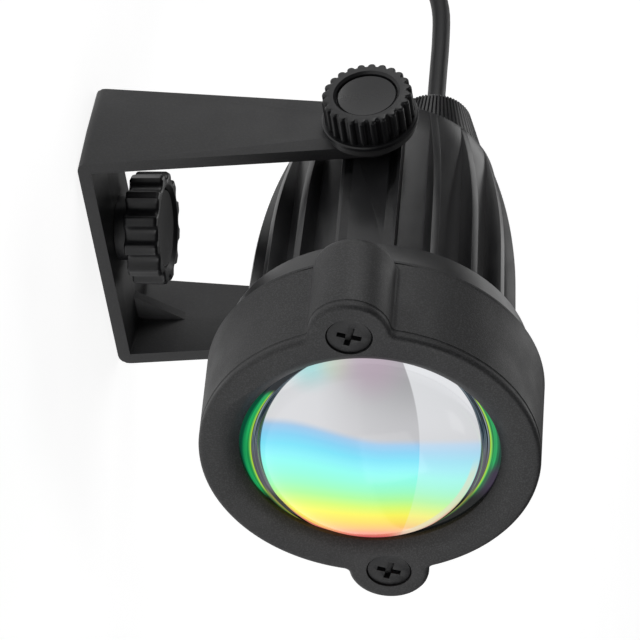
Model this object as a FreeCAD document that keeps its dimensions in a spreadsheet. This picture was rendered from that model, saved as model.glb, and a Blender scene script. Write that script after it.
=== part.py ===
import FreeCAD, Part
import math
import os

import Sketcher
from FreeCAD import Placement, Rotation, Vector

# Driving sizes
# Millimetres, and degrees where the name ends in angle. Reaches along the lamp's axis are
# measured from the tilt axis: forward for the front pieces, back for the rear ones.

SIZES = {
    # bracket
    "pivot_height": 61.7,
    "yoke_thickness": 3.1,
    "plate_depth": 23.6,
    "arm_tip_depth": 13.2,
    "yoke_outer_corner": 2.5,
    "yoke_inner_corner": 1.2,
    "yoke_draft_angle": 0.8,
    "gusset_height": 11.5,
    "gusset_reach": 7.8,
    "gusset_thickness": 2.0,
    "stand_hole_radius": 3.3,
    "landing_radius": 9.0,
    # how the head stands in the bracket, nose up by this much
    "rest_tilt_angle": 4.0,
    # front ring
    "front_reach": 67.5,
    "bezel_length": 22.2,
    "bezel_radius": 35.0,
    "bezel_wall": 2.2,
    "bezel_front_wall": 2.8,
    "bezel_edge": 1.0,
    "face_width": 5.7,
    "opening_step": 2.5,
    "opening_chamfer": 1.8,
    "ear_inset": 0.5,
    "ear_radius": 8.4,
    "ear_wall": 1.6,
    "ear_front_wall": 5.5,
    "ear_setback": 0.9,
    # ring screws
    "screw_head_radius": 4.45,
    "screw_head_height": 2.3,
    "screw_head_round": 0.5,
    "screw_radius": 1.9,
    "screw_length": 16.0,
    "counterbore_radius": 4.75,
    "counterbore_depth": 2.5,
    "cross_width": 1.25,
    "cross_length": 5.0,
    "cross_depth": 1.5,
    "cross_turn_angle": 20.0,
    # housing: its radii follow inward and outward from the ring's
    "ring_gap": 0.4,
    "collar_draft": 0.5,
    "collar_wall": 1.7,
    "collar_rear_reach": 37.9,
    "core_front_wall": 3.5,
    "core_rear_wall": 2.5,
    "fin_height": 4.3,
    "fin_taper": 0.8,
    "fin_shoulder_reach": 18.0,
    "rim_reach": 14.7,
    "rear_face_reach": 17.0,
    "rear_rim": 2.0,
    "rim_bevel": 2.8,
    "core_shoulder_reach": 6.0,
    "fin_thickness": 1.7,
    "pad_half_width": 6.2,
    "pad_rear_reach": 7.0,
    "seat_width": 3.4,
    "holder_ledge": 1.9,
    "throat_taper": 4.4,
    "plate_ledge": 1.7,
    "board_ledge": 1.8,
    "rear_wall": 4.0,
    "throat_length": 4.5,
    "throat_cone": 9.0,
    # lens, its seal and the filter behind it
    "lens_flange_thickness": 2.0,
    "lens_dome_height": 13.2,
    "lens_side_gap": 0.4,
    "lens_back_depth": 1.4,
    "gasket_width": 2.5,
    "gasket_thickness": 1.7,
    "holder_length": 6.0,
    "holder_wall": 2.7,
    "filter_rebate": 1.0,
    "filter_thickness": 1.1,
    "filter_seat_depth": 3.4,
    "clip_wire": 0.8,
    # light source
    "light_tube_wall": 1.0,
    "light_tube_length": 34.5,
    "led_plate_thickness": 6.0,
    "led_plate_reach": 0.5,
    "led_board_radius": 10.0,
    "board_thickness": 1.6,
    "led_base_width": 5.0,
    "led_base_height": 1.0,
    "led_dome_radius": 2.2,
    "board_screw_radius": 1.5,
    "board_screw_head_radius": 2.7,
    "board_screw_head_height": 1.8,
    "board_screw_offset": 7.0,
    "board_screw_length": 6.0,
    # driver
    "driver_board_reach": 4.5,
    "inductor_radius": 4.0,
    "inductor_height": 4.5,
    "inductor_offset": 8.5,
    "capacitor_radius": 3.0,
    "capacitor_height": 7.0,
    "capacitor_offset": 7.5,
    "lead_radius": 0.6,
    "lead_spacing": 1.9,
    "led_lead_offset": 5.0,
    "led_lead_hole_radius": 1.2,
    # cable gland
    "gland_offset": 8.4,
    "spigot_radius": 6.2,
    "spigot_length": 6.5,
    "nut_front_radius": 12.3,
    "nut_rear_radius": 8.1,
    "nut_length": 16.0,
    "nut_end_wall": 2.4,
    "nut_seal_bore": 5.5,
    "knurl_depth": 0.35,
    "seal_radius": 5.3,
    # cord and plug
    "cord_radius": 2.0,
    "cord_hole_clearance": 0.4,
    "cord_tail_length": 25.0,
    # tilt knobs
    "bolt_radius": 2.5,
    "bolt_depth": 7.5,
    "insert_radius": 3.8,
    "insert_length": 4.2,
    "insert_floor": 1.1,
    "friction_washer_radius": 6.0,
    "friction_washer_thickness": 0.4,
    "knob_washer_radius": 9.6,
    "knob_washer_thickness": 1.5,
    "knob_flange_radius": 10.2,
    "knob_flange_thickness": 1.2,
    "knob_height": 9.1,
    "knob_root_radius": 8.7,
    "knob_tooth_radius": 0.8,
    "knob_recess_radius": 6.5,
    "knob_recess_depth": 1.7,
    "inset_thickness": 0.9,
    "inset_dish": 0.35,
    "bolt_head_depth": 2.2,
    # bracket knob
    "base_knob_radius": 12.2,
    "base_knob_lift": 6.3,
    "base_knob_face": 13.7,
    "base_hub_radius": 7.0,
    "base_scallop_radius": 2.2,
    "base_scallop_centre": 12.8,
    "base_scallop_angle": 25.0,
    "base_recess_radius": 8.6,
    "base_recess_depth": 1.6,
    "base_insert_radius": 4.2,
    "base_insert_length": 7.5,
    "base_thread_radius": 2.5,
    # clearances
    "face_gap": 0.1,
    "fit_gap": 0.05,
    "loose_gap": 0.3,
    "hole_gap": 0.2,
    "overrun": 4.0,
}

# Counts and shares
FINS = 18
KNOB_TEETH = 24
BASE_LOBES = 12
KNURLS = 72
KNURL_GROOVE_SHARE = 0.55  # of the pitch between two grooves
NEARLY_ALONG = 0.9  # an edge this much along an axis counts as running along it

doc = FreeCAD.newDocument("sunset_lamp")
sheet = doc.addObject("Spreadsheet::Sheet", "sizes")
for row, (alias, number) in enumerate(SIZES.items(), start=1):
    sheet.set(f"A{row}", alias)
    sheet.set(f"B{row}", str(number))
    sheet.setAlias(f"B{row}", alias)
doc.recompute()


class Size:
    """A length or angle that knows both its number and the sheet expression behind it."""

    def __init__(self, value, text):
        self.value = value
        self.text = text

    @staticmethod
    def of(other):
        return other if isinstance(other, Size) else Size(float(other), repr(float(other)))

    def __add__(self, other):
        other = Size.of(other)
        return Size(self.value + other.value, f"({self.text} + {other.text})")

    def __sub__(self, other):
        other = Size.of(other)
        return Size(self.value - other.value, f"({self.text} - {other.text})")

    def __mul__(self, other):
        other = Size.of(other)
        return Size(self.value * other.value, f"({self.text} * {other.text})")

    def __truediv__(self, other):
        other = Size.of(other)
        return Size(self.value / other.value, f"({self.text} / {other.text})")

    def __neg__(self):
        return Size(-self.value, f"(0 - {self.text})")


class Sheet:
    """The driving sizes, read from the sheet by name."""

    def __getattr__(self, alias):
        return Size(float(getattr(sheet, alias)), f"sizes.{alias}")


s = Sheet()
zero = Size(0.0, "0")


def bind(obj, **sizes):
    """Ties properties of an object to sheet expressions."""
    for name, size in sizes.items():
        obj.setExpression(name, Size.of(size).text)


def head_placement():
    """The head's own frame: its origin on the tilt axis, the lamp's axis along Y."""
    turn = Rotation(Vector(1, 0, 0), -s.rest_tilt_angle.value)
    return Placement(Vector(0, 0, s.pivot_height.value), turn)


def pivot_placement():
    return Placement(Vector(0, 0, s.pivot_height.value), Rotation())


# Sketch helpers

def outline(sketch, corners, edges=None):
    """Closed outline through corners, each a pair of sizes. Edges are lines unless named:
    tangent is an arc that leaves the edge before it smoothly, centred has its centre on
    the vertical axis."""
    edges = edges or {}
    points = [Vector(Size.of(a).value, Size.of(b).value, 0) for a, b in corners]
    count = len(points)
    for i, start in enumerate(points):
        end = points[(i + 1) % count]
        kind = edges.get(i, "line")
        if kind == "line":
            sketch.addGeometry(Part.LineSegment(start, end), False)
            continue
        if kind == "centred":
            middle = centred_middle(start, end)
        else:
            middle = tangent_middle(points[i - 1], start, end)
        sketch.addGeometry(Part.Arc(start, middle, end), False)
    for i in range(count):
        after = (i + 1) % count
        smooth = edges.get(after) == "tangent"
        meet(sketch, i, after, points[after], "Tangent" if smooth else "Coincident")
    for i, (across, up) in enumerate(corners):
        place_point(sketch, i, points[i], Size.of(across), Size.of(up))
        if edges.get(i) == "centred":
            sketch.addConstraint(Sketcher.Constraint("PointOnObject", i, 3, -2))


def centred_middle(start, end):
    """Middle of an arc whose centre is on the vertical axis."""
    high = (start.x ** 2 + start.y ** 2 - end.x ** 2 - end.y ** 2) / (2 * (start.y - end.y))
    centre = Vector(0, high, 0)
    way = (start + end) * 0.5 - centre
    return centre + way.normalize() * start.distanceToPoint(centre)


def tangent_middle(before, start, end):
    """Middle of an arc that leaves the line from before to start smoothly and reaches end."""
    return bow_of(start, (start - before).normalize(), end)


def end_at(sketch, index, point):
    """Which end of an edge lies at a point: an arc made through three points may be stored
    from its far end."""
    edge = sketch.Geometry[index]
    near = edge.StartPoint.distanceToPoint(point) < edge.EndPoint.distanceToPoint(point)
    return 1 if near else 2


def meet(sketch, one, other, point, kind):
    ends = (one, end_at(sketch, one, point), other, end_at(sketch, other, point))
    sketch.addConstraint(Sketcher.Constraint(kind, *ends))


def place_point(sketch, index, point, across, up):
    """Dimensions one corner from the origin, or puts it on the axis where it has no distance."""
    end = end_at(sketch, index, point)
    for kind, size, axis in (("DistanceX", across, -2), ("DistanceY", up, -1)):
        if size.text == "0" or size.value == 0:
            sketch.addConstraint(Sketcher.Constraint("PointOnObject", index, end, axis))
            continue
        number = sketch.addConstraint(Sketcher.Constraint(kind, -1, 1, index, end, size.value))
        sketch.setExpression(f"Constraints[{number}]", size.text)


def circle(sketch, radius, across=zero, up=zero):
    """Circle of a bound radius about a bound centre."""
    across, up = Size.of(across), Size.of(up)
    centre = Vector(across.value, up.value, 0)
    geometry = Part.Circle(centre, Vector(0, 0, 1), Size.of(radius).value)
    index = sketch.addGeometry(geometry, False)
    for kind, size, axis in (("DistanceX", across, -2), ("DistanceY", up, -1)):
        if size.value == 0:
            sketch.addConstraint(Sketcher.Constraint("PointOnObject", index, 3, axis))
            continue
        number = sketch.addConstraint(Sketcher.Constraint(kind, -1, 1, index, 3, size.value))
        sketch.setExpression(f"Constraints[{number}]", size.text)
    number = sketch.addConstraint(Sketcher.Constraint("Radius", index, Size.of(radius).value))
    sketch.setExpression(f"Constraints[{number}]", Size.of(radius).text)


def origin_plane(body, role):
    return next(f for f in body.Origin.OriginFeatures if f.Role == role)


def new_body(label):
    body = doc.addObject("PartDesign::Body", label)
    body.Label = label
    return body


def new_sketch(body, role, name):
    sketch = body.newObject("Sketcher::SketchObject", name)
    sketch.AttachmentSupport = (origin_plane(body, role), "")
    sketch.MapMode = "FlatFace"
    return sketch


def turned(body, role, corners, axis, edges=None, cut=False):
    """Revolves an outline about the sketch's own axis, to add or to cut."""
    name = "turning" if not cut else "boring"
    sketch = new_sketch(body, role, name)
    outline(sketch, corners, edges)
    kind = "PartDesign::Groove" if cut else "PartDesign::Revolution"
    feature = body.newObject(kind, name + "_feature")
    feature.Profile = sketch
    feature.ReferenceAxis = (sketch, [axis])
    feature.Angle = 360
    doc.recompute()
    return feature


def ring(label, corners, placement, edges=None):
    """A piece turned about the lamp's axis, in the head's frame: across is radius, up is Y."""
    body = new_body(label)
    turned(body, "XY_Plane", corners, "V_Axis", edges)
    body.Placement = placement()
    return body


def rectangle(inner, outer, low, high):
    return ((inner, low), (outer, low), (outer, high), (inner, high))


def cylinder(name, radius, height, base, axis):
    """A bound cylinder that starts at base and runs along axis."""
    rod = doc.addObject("Part::Cylinder", name)
    bind(rod, Radius=radius, Height=height)
    rod.Placement = Placement(Vector(0, 0, 0), Rotation(Vector(0, 0, 1), axis))
    for letter, size in zip("xyz", base):
        rod.setExpression(f"Placement.Base.{letter}", Size.of(size).text)
    return rod


def block(name, length, width, height, base):
    """A bound box with its low corner at base."""
    box = doc.addObject("Part::Box", name)
    bind(box, Length=length, Width=width, Height=height)
    for letter, size in zip("xyz", base):
        box.setExpression(f"Placement.Base.{letter}", Size.of(size).text)
    return box


def cut(label, base, tool):
    result = doc.addObject("Part::Cut", label)
    result.Base = base
    result.Tool = tool
    return result


def fused(label, *pieces):
    result = doc.addObject("Part::MultiFuse", label)
    result.Shapes = list(pieces)
    return result


def group(label, *pieces):
    """Separate solids that share one node."""
    result = doc.addObject("Part::Compound", label)
    result.Links = list(pieces)
    return result


def mirrored(name, source):
    """The same piece on the other side of the lamp's middle plane."""
    result = doc.addObject("Part::Mirroring", name)
    result.Source = source
    result.Normal = Vector(1, 0, 0)
    return result


def freestanding_sketch(name, placement):
    sketch = doc.addObject("Sketcher::SketchObject", name)
    sketch.Placement = placement
    return sketch


def extruded(name, sketch, forward, direction, symmetric=False):
    result = doc.addObject("Part::Extrusion", name)
    result.Base = sketch
    result.DirMode = "Custom"
    result.Dir = direction
    result.Solid = True
    result.Symmetric = symmetric
    bind(result, LengthFwd=forward)
    return result


NODES = []


def keep(obj, label):
    """Marks an object as one sub-part of the lamp."""
    obj.Label = label
    NODES.append(obj)
    return obj


X, Y, Z = Vector(1, 0, 0), Vector(0, 1, 0), Vector(0, 0, 1)
FRONT_PLANE = Placement(Vector(0, 0, 0), Rotation(Vector(1, 0, 0), 90))
SIDE_PLANE = Placement(Vector(0, 0, 0), Rotation(Vector(1, 1, 1), 120))

# Radii worked out from the ring's, and the bracket's width from the housing between its arms

crease_radius = s.bezel_radius - s.face_width
opening_radius = crease_radius - s.opening_step
ear_offset = s.bezel_radius - s.ear_inset
collar_radius = s.bezel_radius - s.bezel_wall - s.ring_gap
collar_rear_radius = collar_radius - s.collar_draft
lens_seat_radius = collar_radius - s.collar_wall
lens_flange_radius = lens_seat_radius - s.lens_side_gap
lens_radius = opening_radius - s.loose_gap
gasket_inner_radius = lens_flange_radius - s.gasket_width
holder_bore_radius = lens_seat_radius - s.seat_width
throat_radius = holder_bore_radius - s.holder_ledge
filter_radius = holder_bore_radius - s.holder_wall
holder_inner_radius = filter_radius - s.filter_rebate
cavity_radius = throat_radius - s.throat_taper
plate_bay_radius = cavity_radius - s.plate_ledge
rear_bay_radius = plate_bay_radius - s.board_ledge
rear_face_radius = rear_bay_radius + s.rear_rim
rim_radius = rear_face_radius + s.rim_bevel
core_front_radius = cavity_radius + s.core_front_wall
core_rear_radius = cavity_radius + s.core_rear_wall
fin_front_radius = core_front_radius + s.fin_height
fin_shoulder_radius = fin_front_radius - s.fin_taper
pad_face = cavity_radius + s.insert_floor + s.insert_length
arm_inside = pad_face + s.friction_washer_thickness + s.face_gap
yoke_half_width = arm_inside + s.yoke_thickness

# Places worked out from the driving sizes

bezel_front = -s.front_reach
bezel_back = bezel_front + s.bezel_length
bezel_inside = bezel_front + s.bezel_front_wall
collar_front = bezel_inside + s.loose_gap
lens_seat = bezel_inside + s.lens_flange_thickness + s.gasket_thickness
holder_back = lens_seat + s.holder_length
throat_end = holder_back + s.throat_length
cone_end = throat_end + s.throat_cone
led_seat = -s.led_plate_reach
led_face = led_seat - s.led_plate_thickness
board_face = led_face - s.board_thickness
rear_inside = s.rear_face_reach - s.rear_wall
nut_front = s.rear_face_reach + s.loose_gap
nut_back = nut_front + s.nut_length
knob_base = yoke_half_width + s.knob_washer_thickness + s.face_gap
knob_face = yoke_half_width + s.knob_height
pivot_hole_radius = s.bolt_radius + s.hole_gap


# Bracket

def build_yoke():
    """U bracket: plate and two arms that narrow towards the pivot, drafted both ways from a
    parting line at mid depth, with a thin gusset in each inner corner."""
    top = s.pivot_height + s.arm_tip_depth / 2 + s.overrun
    inside = arm_inside
    corners = (
        (-yoke_half_width, zero), (yoke_half_width, zero), (yoke_half_width, top),
        (inside, top), (inside, s.yoke_thickness), (-inside, s.yoke_thickness),
        (-inside, top), (-yoke_half_width, top),
    )
    profile = freestanding_sketch("yoke_profile", FRONT_PLANE)
    outline(profile, corners)
    doc.recompute()
    section = doc.addObject("Part::Extrusion", "yoke_section")
    section.Base = profile
    section.DirMode = "Custom"
    section.Dir = Y
    section.Solid = True
    half = s.plate_depth / 2 + s.overrun
    bind(section, LengthFwd=half, LengthRev=half)
    bind(section, TaperAngle=-s.yoke_draft_angle, TaperAngleRev=-s.yoke_draft_angle)
    foot = s.plate_depth / 2
    tip = s.arm_tip_depth / 2
    side = freestanding_sketch("yoke_side", SIDE_PLANE)
    low = -s.overrun
    outline(side, ((-foot, low), (foot, low), (foot, zero), (tip, s.pivot_height),
                   (-tip, s.pivot_height), (-foot, zero)))
    long = yoke_half_width * 2 + s.overrun * 2
    flank = extruded("yoke_flank", side, long, X, symmetric=True)
    rounding = cylinder("arm_rounding", tip, long, (-long / 2, zero, s.pivot_height), X)
    envelope = fused("yoke_envelope", flank, rounding)
    bare = doc.addObject("Part::Common", "yoke_bare")
    bare.Base = section
    bare.Tool = envelope
    web = freestanding_sketch("gusset_profile", FRONT_PLANE)
    deep = s.yoke_thickness / 2
    outline(web, (
        (inside - s.gusset_reach, s.yoke_thickness), (inside - s.gusset_reach, deep),
        (inside + deep, deep), (inside + deep, s.yoke_thickness + s.gusset_height),
        (inside, s.yoke_thickness + s.gusset_height),
    ))
    gusset = extruded("gusset", web, s.gusset_thickness, Y, symmetric=True)
    landing = cylinder("landing", s.landing_radius, deep, (zero, zero, zero), Z)
    solid = fused("yoke_solid", bare, gusset, mirrored("gusset_far", gusset), landing)
    doc.recompute()
    rounded = doc.addObject("Part::Fillet", "yoke_rounded")
    rounded.Base = solid
    rounded.Edges = yoke_corner_edges(solid.Shape)
    across = cylinder("pivot_drill", pivot_hole_radius, long, (-long / 2, zero, s.pivot_height), X)
    down = s.yoke_thickness + s.overrun
    through = cylinder("stand_drill", s.stand_hole_radius, down * 2, (zero, zero, -down), Z)
    keep(cut("yoke_bracket", rounded, fused("yoke_drills", across, through)), "yoke_bracket")


def yoke_corner_edges(shape):
    """The outer and inner corner edges of the U, each with its radius."""
    chosen = []
    for number, edge in enumerate(shape.Edges, start=1):
        if len(edge.Vertexes) < 2:
            continue
        middle = edge.valueAt((edge.FirstParameter + edge.LastParameter) / 2)
        way = edge.tangentAt(edge.FirstParameter)
        if abs(way.y) < NEARLY_ALONG:
            continue
        outer = abs(abs(middle.x) - yoke_half_width.value) < s.hole_gap.value * 2
        if outer and abs(middle.z) < s.hole_gap.value * 2:
            radius = s.yoke_outer_corner.value
            chosen.append((number, radius, radius))
        inner = abs(abs(middle.x) - arm_inside.value) < s.hole_gap.value * 2
        if inner and abs(middle.z - s.yoke_thickness.value) < s.hole_gap.value * 2:
            radius = s.yoke_inner_corner.value
            chosen.append((number, radius, radius))
    return chosen


# Front ring

def build_bezel():
    """Ring that clamps the lens: stepped front face, chamfered opening, and two hollow ears
    that run its whole length over the housing's screw lugs."""
    body = new_body("bezel_ring")
    inside = s.bezel_radius - s.bezel_wall
    turned(body, "XY_Plane", (
        (zero, bezel_front), (s.bezel_radius - s.bezel_edge, bezel_front),
        (s.bezel_radius, bezel_front + s.bezel_edge), (s.bezel_radius, bezel_back),
        (zero, bezel_back),
    ), "V_Axis")
    length = s.bezel_length - s.ear_setback
    ears = new_sketch(body, "XZ_Plane", "ear_outline")
    for side in (-ear_offset, ear_offset):
        circle(ears, s.ear_radius, side)
    bind(ears, **{"AttachmentOffset.Base.z": -bezel_front})
    lobes = body.newObject("PartDesign::Pad", "ears")
    lobes.Profile = ears
    lobes.Reversed = True
    bind(lobes, Length=length)
    doc.recompute()
    hollow = new_sketch(body, "XZ_Plane", "ear_hollow_outline")
    for side in (-ear_offset, ear_offset):
        circle(hollow, s.ear_radius - s.ear_wall, side)
    bind(hollow, **{"AttachmentOffset.Base.z": -(bezel_front + s.ear_front_wall)})
    pocket = body.newObject("PartDesign::Pocket", "ear_hollows")
    pocket.Profile = hollow
    bind(pocket, Length=s.bezel_length)
    doc.recompute()
    turned(body, "XY_Plane", (
        (zero, bezel_front - s.overrun), (crease_radius, bezel_front - s.overrun),
        (crease_radius, bezel_front), (opening_radius, bezel_front + s.opening_chamfer),
        (opening_radius, bezel_inside), (inside, bezel_inside),
        (inside, bezel_back + s.overrun), (zero, bezel_back + s.overrun),
    ), "V_Axis", cut=True)
    for name, radius, start, depth in (
        ("counterbore", s.counterbore_radius, bezel_front, s.counterbore_depth),
        ("screw_hole", s.screw_radius + s.hole_gap, bezel_front, s.ear_front_wall + s.overrun),
    ):
        drill = new_sketch(body, "XZ_Plane", name + "_outline")
        for side in (-ear_offset, ear_offset):
            circle(drill, radius, side)
        bind(drill, **{"AttachmentOffset.Base.z": -start})
        hole = body.newObject("PartDesign::Pocket", name)
        hole.Profile = drill
        bind(hole, Length=depth)
        doc.recompute()
    body.Placement = head_placement()
    keep(body, "bezel_ring")


def build_ring_screws():
    """Two cross-recessed pan-head screws that hold the ring on the housing's lugs."""
    seat = bezel_front + s.counterbore_depth
    top = seat - s.screw_head_height
    body = new_body("ring_screw")
    turned(body, "XY_Plane", (
        (zero, top), (s.screw_head_radius - s.screw_head_round, top),
        (s.screw_head_radius, top + s.screw_head_round), (s.screw_head_radius, seat),
        (s.screw_radius, seat), (s.screw_radius, seat + s.screw_length),
        (zero, seat + s.screw_length + s.screw_radius / 2),
    ), "V_Axis")
    slots = []
    for name, wide, tall in (("upright_slot", s.cross_width, s.cross_length),
                             ("level_slot", s.cross_length, s.cross_width)):
        slots.append(block(name, wide, s.cross_depth + s.overrun, tall,
                           (-wide / 2, top - s.overrun, -tall / 2)))
    recess = fused("cross_recess", *slots)
    recess.Placement = Placement(Vector(0, 0, 0), Rotation(Y, s.cross_turn_angle.value))
    bind(recess, **{"Placement.Rotation.Angle": s.cross_turn_angle})
    screw = cut("slotted_screw", body, recess)
    pair = []
    for name, side in (("screw_near", -ear_offset), ("screw_far", ear_offset)):
        place = doc.addObject("Part::Compound", name)
        place.Links = [screw]
        place.setExpression("Placement.Base.x", side.text)
        pair.append(place)
    both = group("bezel_screws", *pair)
    both.Placement = head_placement()
    keep(both, "bezel_screws")


# Housing

def build_housing():
    """Cast body: front collar under the ring, a smooth core with straight fins that run out at
    the rear, a flat pad under each tilt knob, screw lugs, bored bays and the gland's spigot."""
    body = new_body("finned_housing")
    turned(body, "XY_Plane", (
        (zero, collar_front), (collar_radius, collar_front), (collar_radius, bezel_back),
        (collar_rear_radius, -s.collar_rear_reach), (core_front_radius, -s.collar_rear_reach),
        (core_rear_radius, s.core_shoulder_reach), (rim_radius, s.rim_reach),
        (rear_face_radius, s.rear_face_reach), (zero, s.rear_face_reach),
    ), "V_Axis", {5: "tangent"})
    add_fins(body)
    add_pads(body)
    add_lugs(body)
    add_spigot(body)
    bore_housing(body)
    drill_housing(body)
    body.Placement = head_placement()
    keep(body, "finned_housing")


def add_fins(body):
    """One fin from the collar to the rear rim, half a pitch off the pad, then all round."""
    sketch = new_sketch(body, "XY_Plane", "fin_outline")
    root = rear_face_radius
    front = -s.collar_rear_reach - s.fin_thickness
    outline(sketch, (
        (root, front), (fin_front_radius, front),
        (fin_shoulder_radius, -s.fin_shoulder_reach), (rim_radius, s.rim_reach),
        (root, s.rim_reach),
    ), {2: "tangent"})
    half_pitch = 180 / FINS
    sketch.AttachmentOffset = Placement(Vector(0, 0, 0), Rotation(Y, half_pitch))
    fin = body.newObject("PartDesign::Pad", "fin")
    fin.Profile = sketch
    fin.Midplane = True
    bind(fin, Length=s.fin_thickness)
    doc.recompute()
    fan = body.newObject("PartDesign::PolarPattern", "fins")
    fan.Originals = [fin]
    fan.Axis = (sketch, ["V_Axis"])
    fan.Angle = 360
    fan.Occurrences = FINS
    body.Tip = fan
    doc.recompute()


def add_pads(body):
    """Flat pads under the knobs, from the collar back past the pivot."""
    sketch = new_sketch(body, "XZ_Plane", "pad_outline")
    half = s.pad_half_width
    outline(sketch, ((-pad_face, -half), (pad_face, -half), (pad_face, half), (-pad_face, half)))
    bind(sketch, **{"AttachmentOffset.Base.z": s.collar_rear_reach})
    pad = body.newObject("PartDesign::Pad", "pads")
    pad.Profile = sketch
    pad.Reversed = True
    bind(pad, Length=s.collar_rear_reach + s.pad_rear_reach)
    doc.recompute()
    for name, near, far in (("near_flat", -fin_front_radius - s.overrun, -pad_face),
                            ("far_flat", pad_face, fin_front_radius + s.overrun)):
        sketch = new_sketch(body, "XZ_Plane", name + "_outline")
        outline(sketch, rectangle(near, far, -half, half))
        bind(sketch, **{"AttachmentOffset.Base.z": s.collar_rear_reach})
        flat = body.newObject("PartDesign::Pocket", name)
        flat.Profile = sketch
        bind(flat, Length=s.collar_rear_reach + s.rim_reach)
        doc.recompute()


def add_lugs(body):
    """Screw lugs inside the ring's hollow ears."""
    sketch = new_sketch(body, "XZ_Plane", "lug_outline")
    front = bezel_front + s.ear_front_wall + s.loose_gap
    for side in (-ear_offset, ear_offset):
        circle(sketch, s.ear_radius - s.ear_wall - s.loose_gap, side)
    bind(sketch, **{"AttachmentOffset.Base.z": -front})
    lugs = body.newObject("PartDesign::Pad", "lugs")
    lugs.Profile = sketch
    lugs.Reversed = True
    bind(lugs, Length=bezel_back - s.ear_setback - front)
    doc.recompute()


def add_spigot(body):
    """Threaded spigot of the cable gland, off centre on the rear face."""
    sketch = new_sketch(body, "XZ_Plane", "spigot_outline")
    circle(sketch, s.spigot_radius, zero, s.gland_offset)
    bind(sketch, **{"AttachmentOffset.Base.z": -rear_inside})
    spigot = body.newObject("PartDesign::Pad", "spigot")
    spigot.Profile = sketch
    spigot.Reversed = True
    bind(spigot, Length=s.rear_wall + s.spigot_length)
    doc.recompute()


def bore_housing(body):
    """Lens seat, filter bay, light path, and the bays of the source and its driver."""
    turned(body, "XY_Plane", (
        (zero, collar_front - s.overrun), (lens_seat_radius, collar_front - s.overrun),
        (lens_seat_radius, lens_seat), (holder_bore_radius, lens_seat),
        (holder_bore_radius, holder_back), (throat_radius, holder_back),
        (throat_radius, throat_end), (cavity_radius, cone_end),
        (cavity_radius, led_seat), (plate_bay_radius, led_seat),
        (plate_bay_radius, s.driver_board_reach), (rear_bay_radius, s.driver_board_reach),
        (rear_bay_radius, rear_inside), (zero, rear_inside),
    ), "V_Axis", cut=True)


def drill_housing(body):
    """Holes of the tilt bolts' inserts, the ring screws and the cord."""
    inserts = new_sketch(body, "YZ_Plane", "insert_outline")
    circle(inserts, s.insert_radius + s.fit_gap)
    across = body.newObject("PartDesign::Pocket", "insert_holes")
    across.Profile = inserts
    across.Midplane = True
    bind(across, Length=(pad_face + s.overrun) * 2)
    doc.recompute()
    threads = new_sketch(body, "XZ_Plane", "thread_outline")
    for side in (-ear_offset, ear_offset):
        circle(threads, s.screw_radius + s.fit_gap, side)
    bind(threads, **{"AttachmentOffset.Base.z": -(bezel_front + s.ear_front_wall)})
    holes = body.newObject("PartDesign::Pocket", "thread_holes")
    holes.Profile = threads
    bind(holes, Length=s.bezel_length)
    doc.recompute()
    passage = new_sketch(body, "XZ_Plane", "passage_outline")
    circle(passage, s.cord_radius + s.cord_hole_clearance, zero, s.gland_offset)
    bind(passage, **{"AttachmentOffset.Base.z": -(rear_inside - s.overrun)})
    hole = body.newObject("PartDesign::Pocket", "cord_passage")
    hole.Profile = passage
    bind(hole, Length=s.rear_wall + s.spigot_length + s.overrun * 2)
    doc.recompute()


# Optics

def build_optics():
    """Domed lens on its seal, then the coloured filter in its holder."""
    flange_back = bezel_inside + s.lens_flange_thickness
    lens_back = flange_back + s.lens_back_depth
    keep(ring("front_lens", (
        (zero, bezel_inside - s.lens_dome_height), (lens_radius, bezel_inside),
        (lens_flange_radius, bezel_inside), (lens_flange_radius, flange_back),
        (lens_radius, flange_back), (lens_radius, lens_back), (zero, lens_back),
    ), head_placement, {0: "centred"}), "front_lens")
    keep(ring("lens_gasket", rectangle(
        gasket_inner_radius, lens_flange_radius, flange_back, lens_seat,
    ), head_placement), "lens_gasket")
    seat = holder_back - s.holder_length + s.filter_seat_depth
    keep(ring("filter_holder", (
        (filter_radius + s.loose_gap, lens_seat), (holder_bore_radius - s.loose_gap, lens_seat),
        (holder_bore_radius - s.loose_gap, holder_back), (holder_inner_radius, holder_back),
        (holder_inner_radius, seat), (filter_radius + s.loose_gap, seat),
    ), head_placement), "filter_holder")
    keep(ring("colour_filter", rectangle(
        zero, filter_radius, seat - s.filter_thickness, seat,
    ), head_placement), "colour_filter")
    clip_back = seat - s.filter_thickness
    keep(ring("filter_clip", rectangle(
        filter_radius - s.clip_wire, filter_radius + s.loose_gap / 2,
        clip_back - s.clip_wire, clip_back,
    ), head_placement), "filter_clip")


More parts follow.
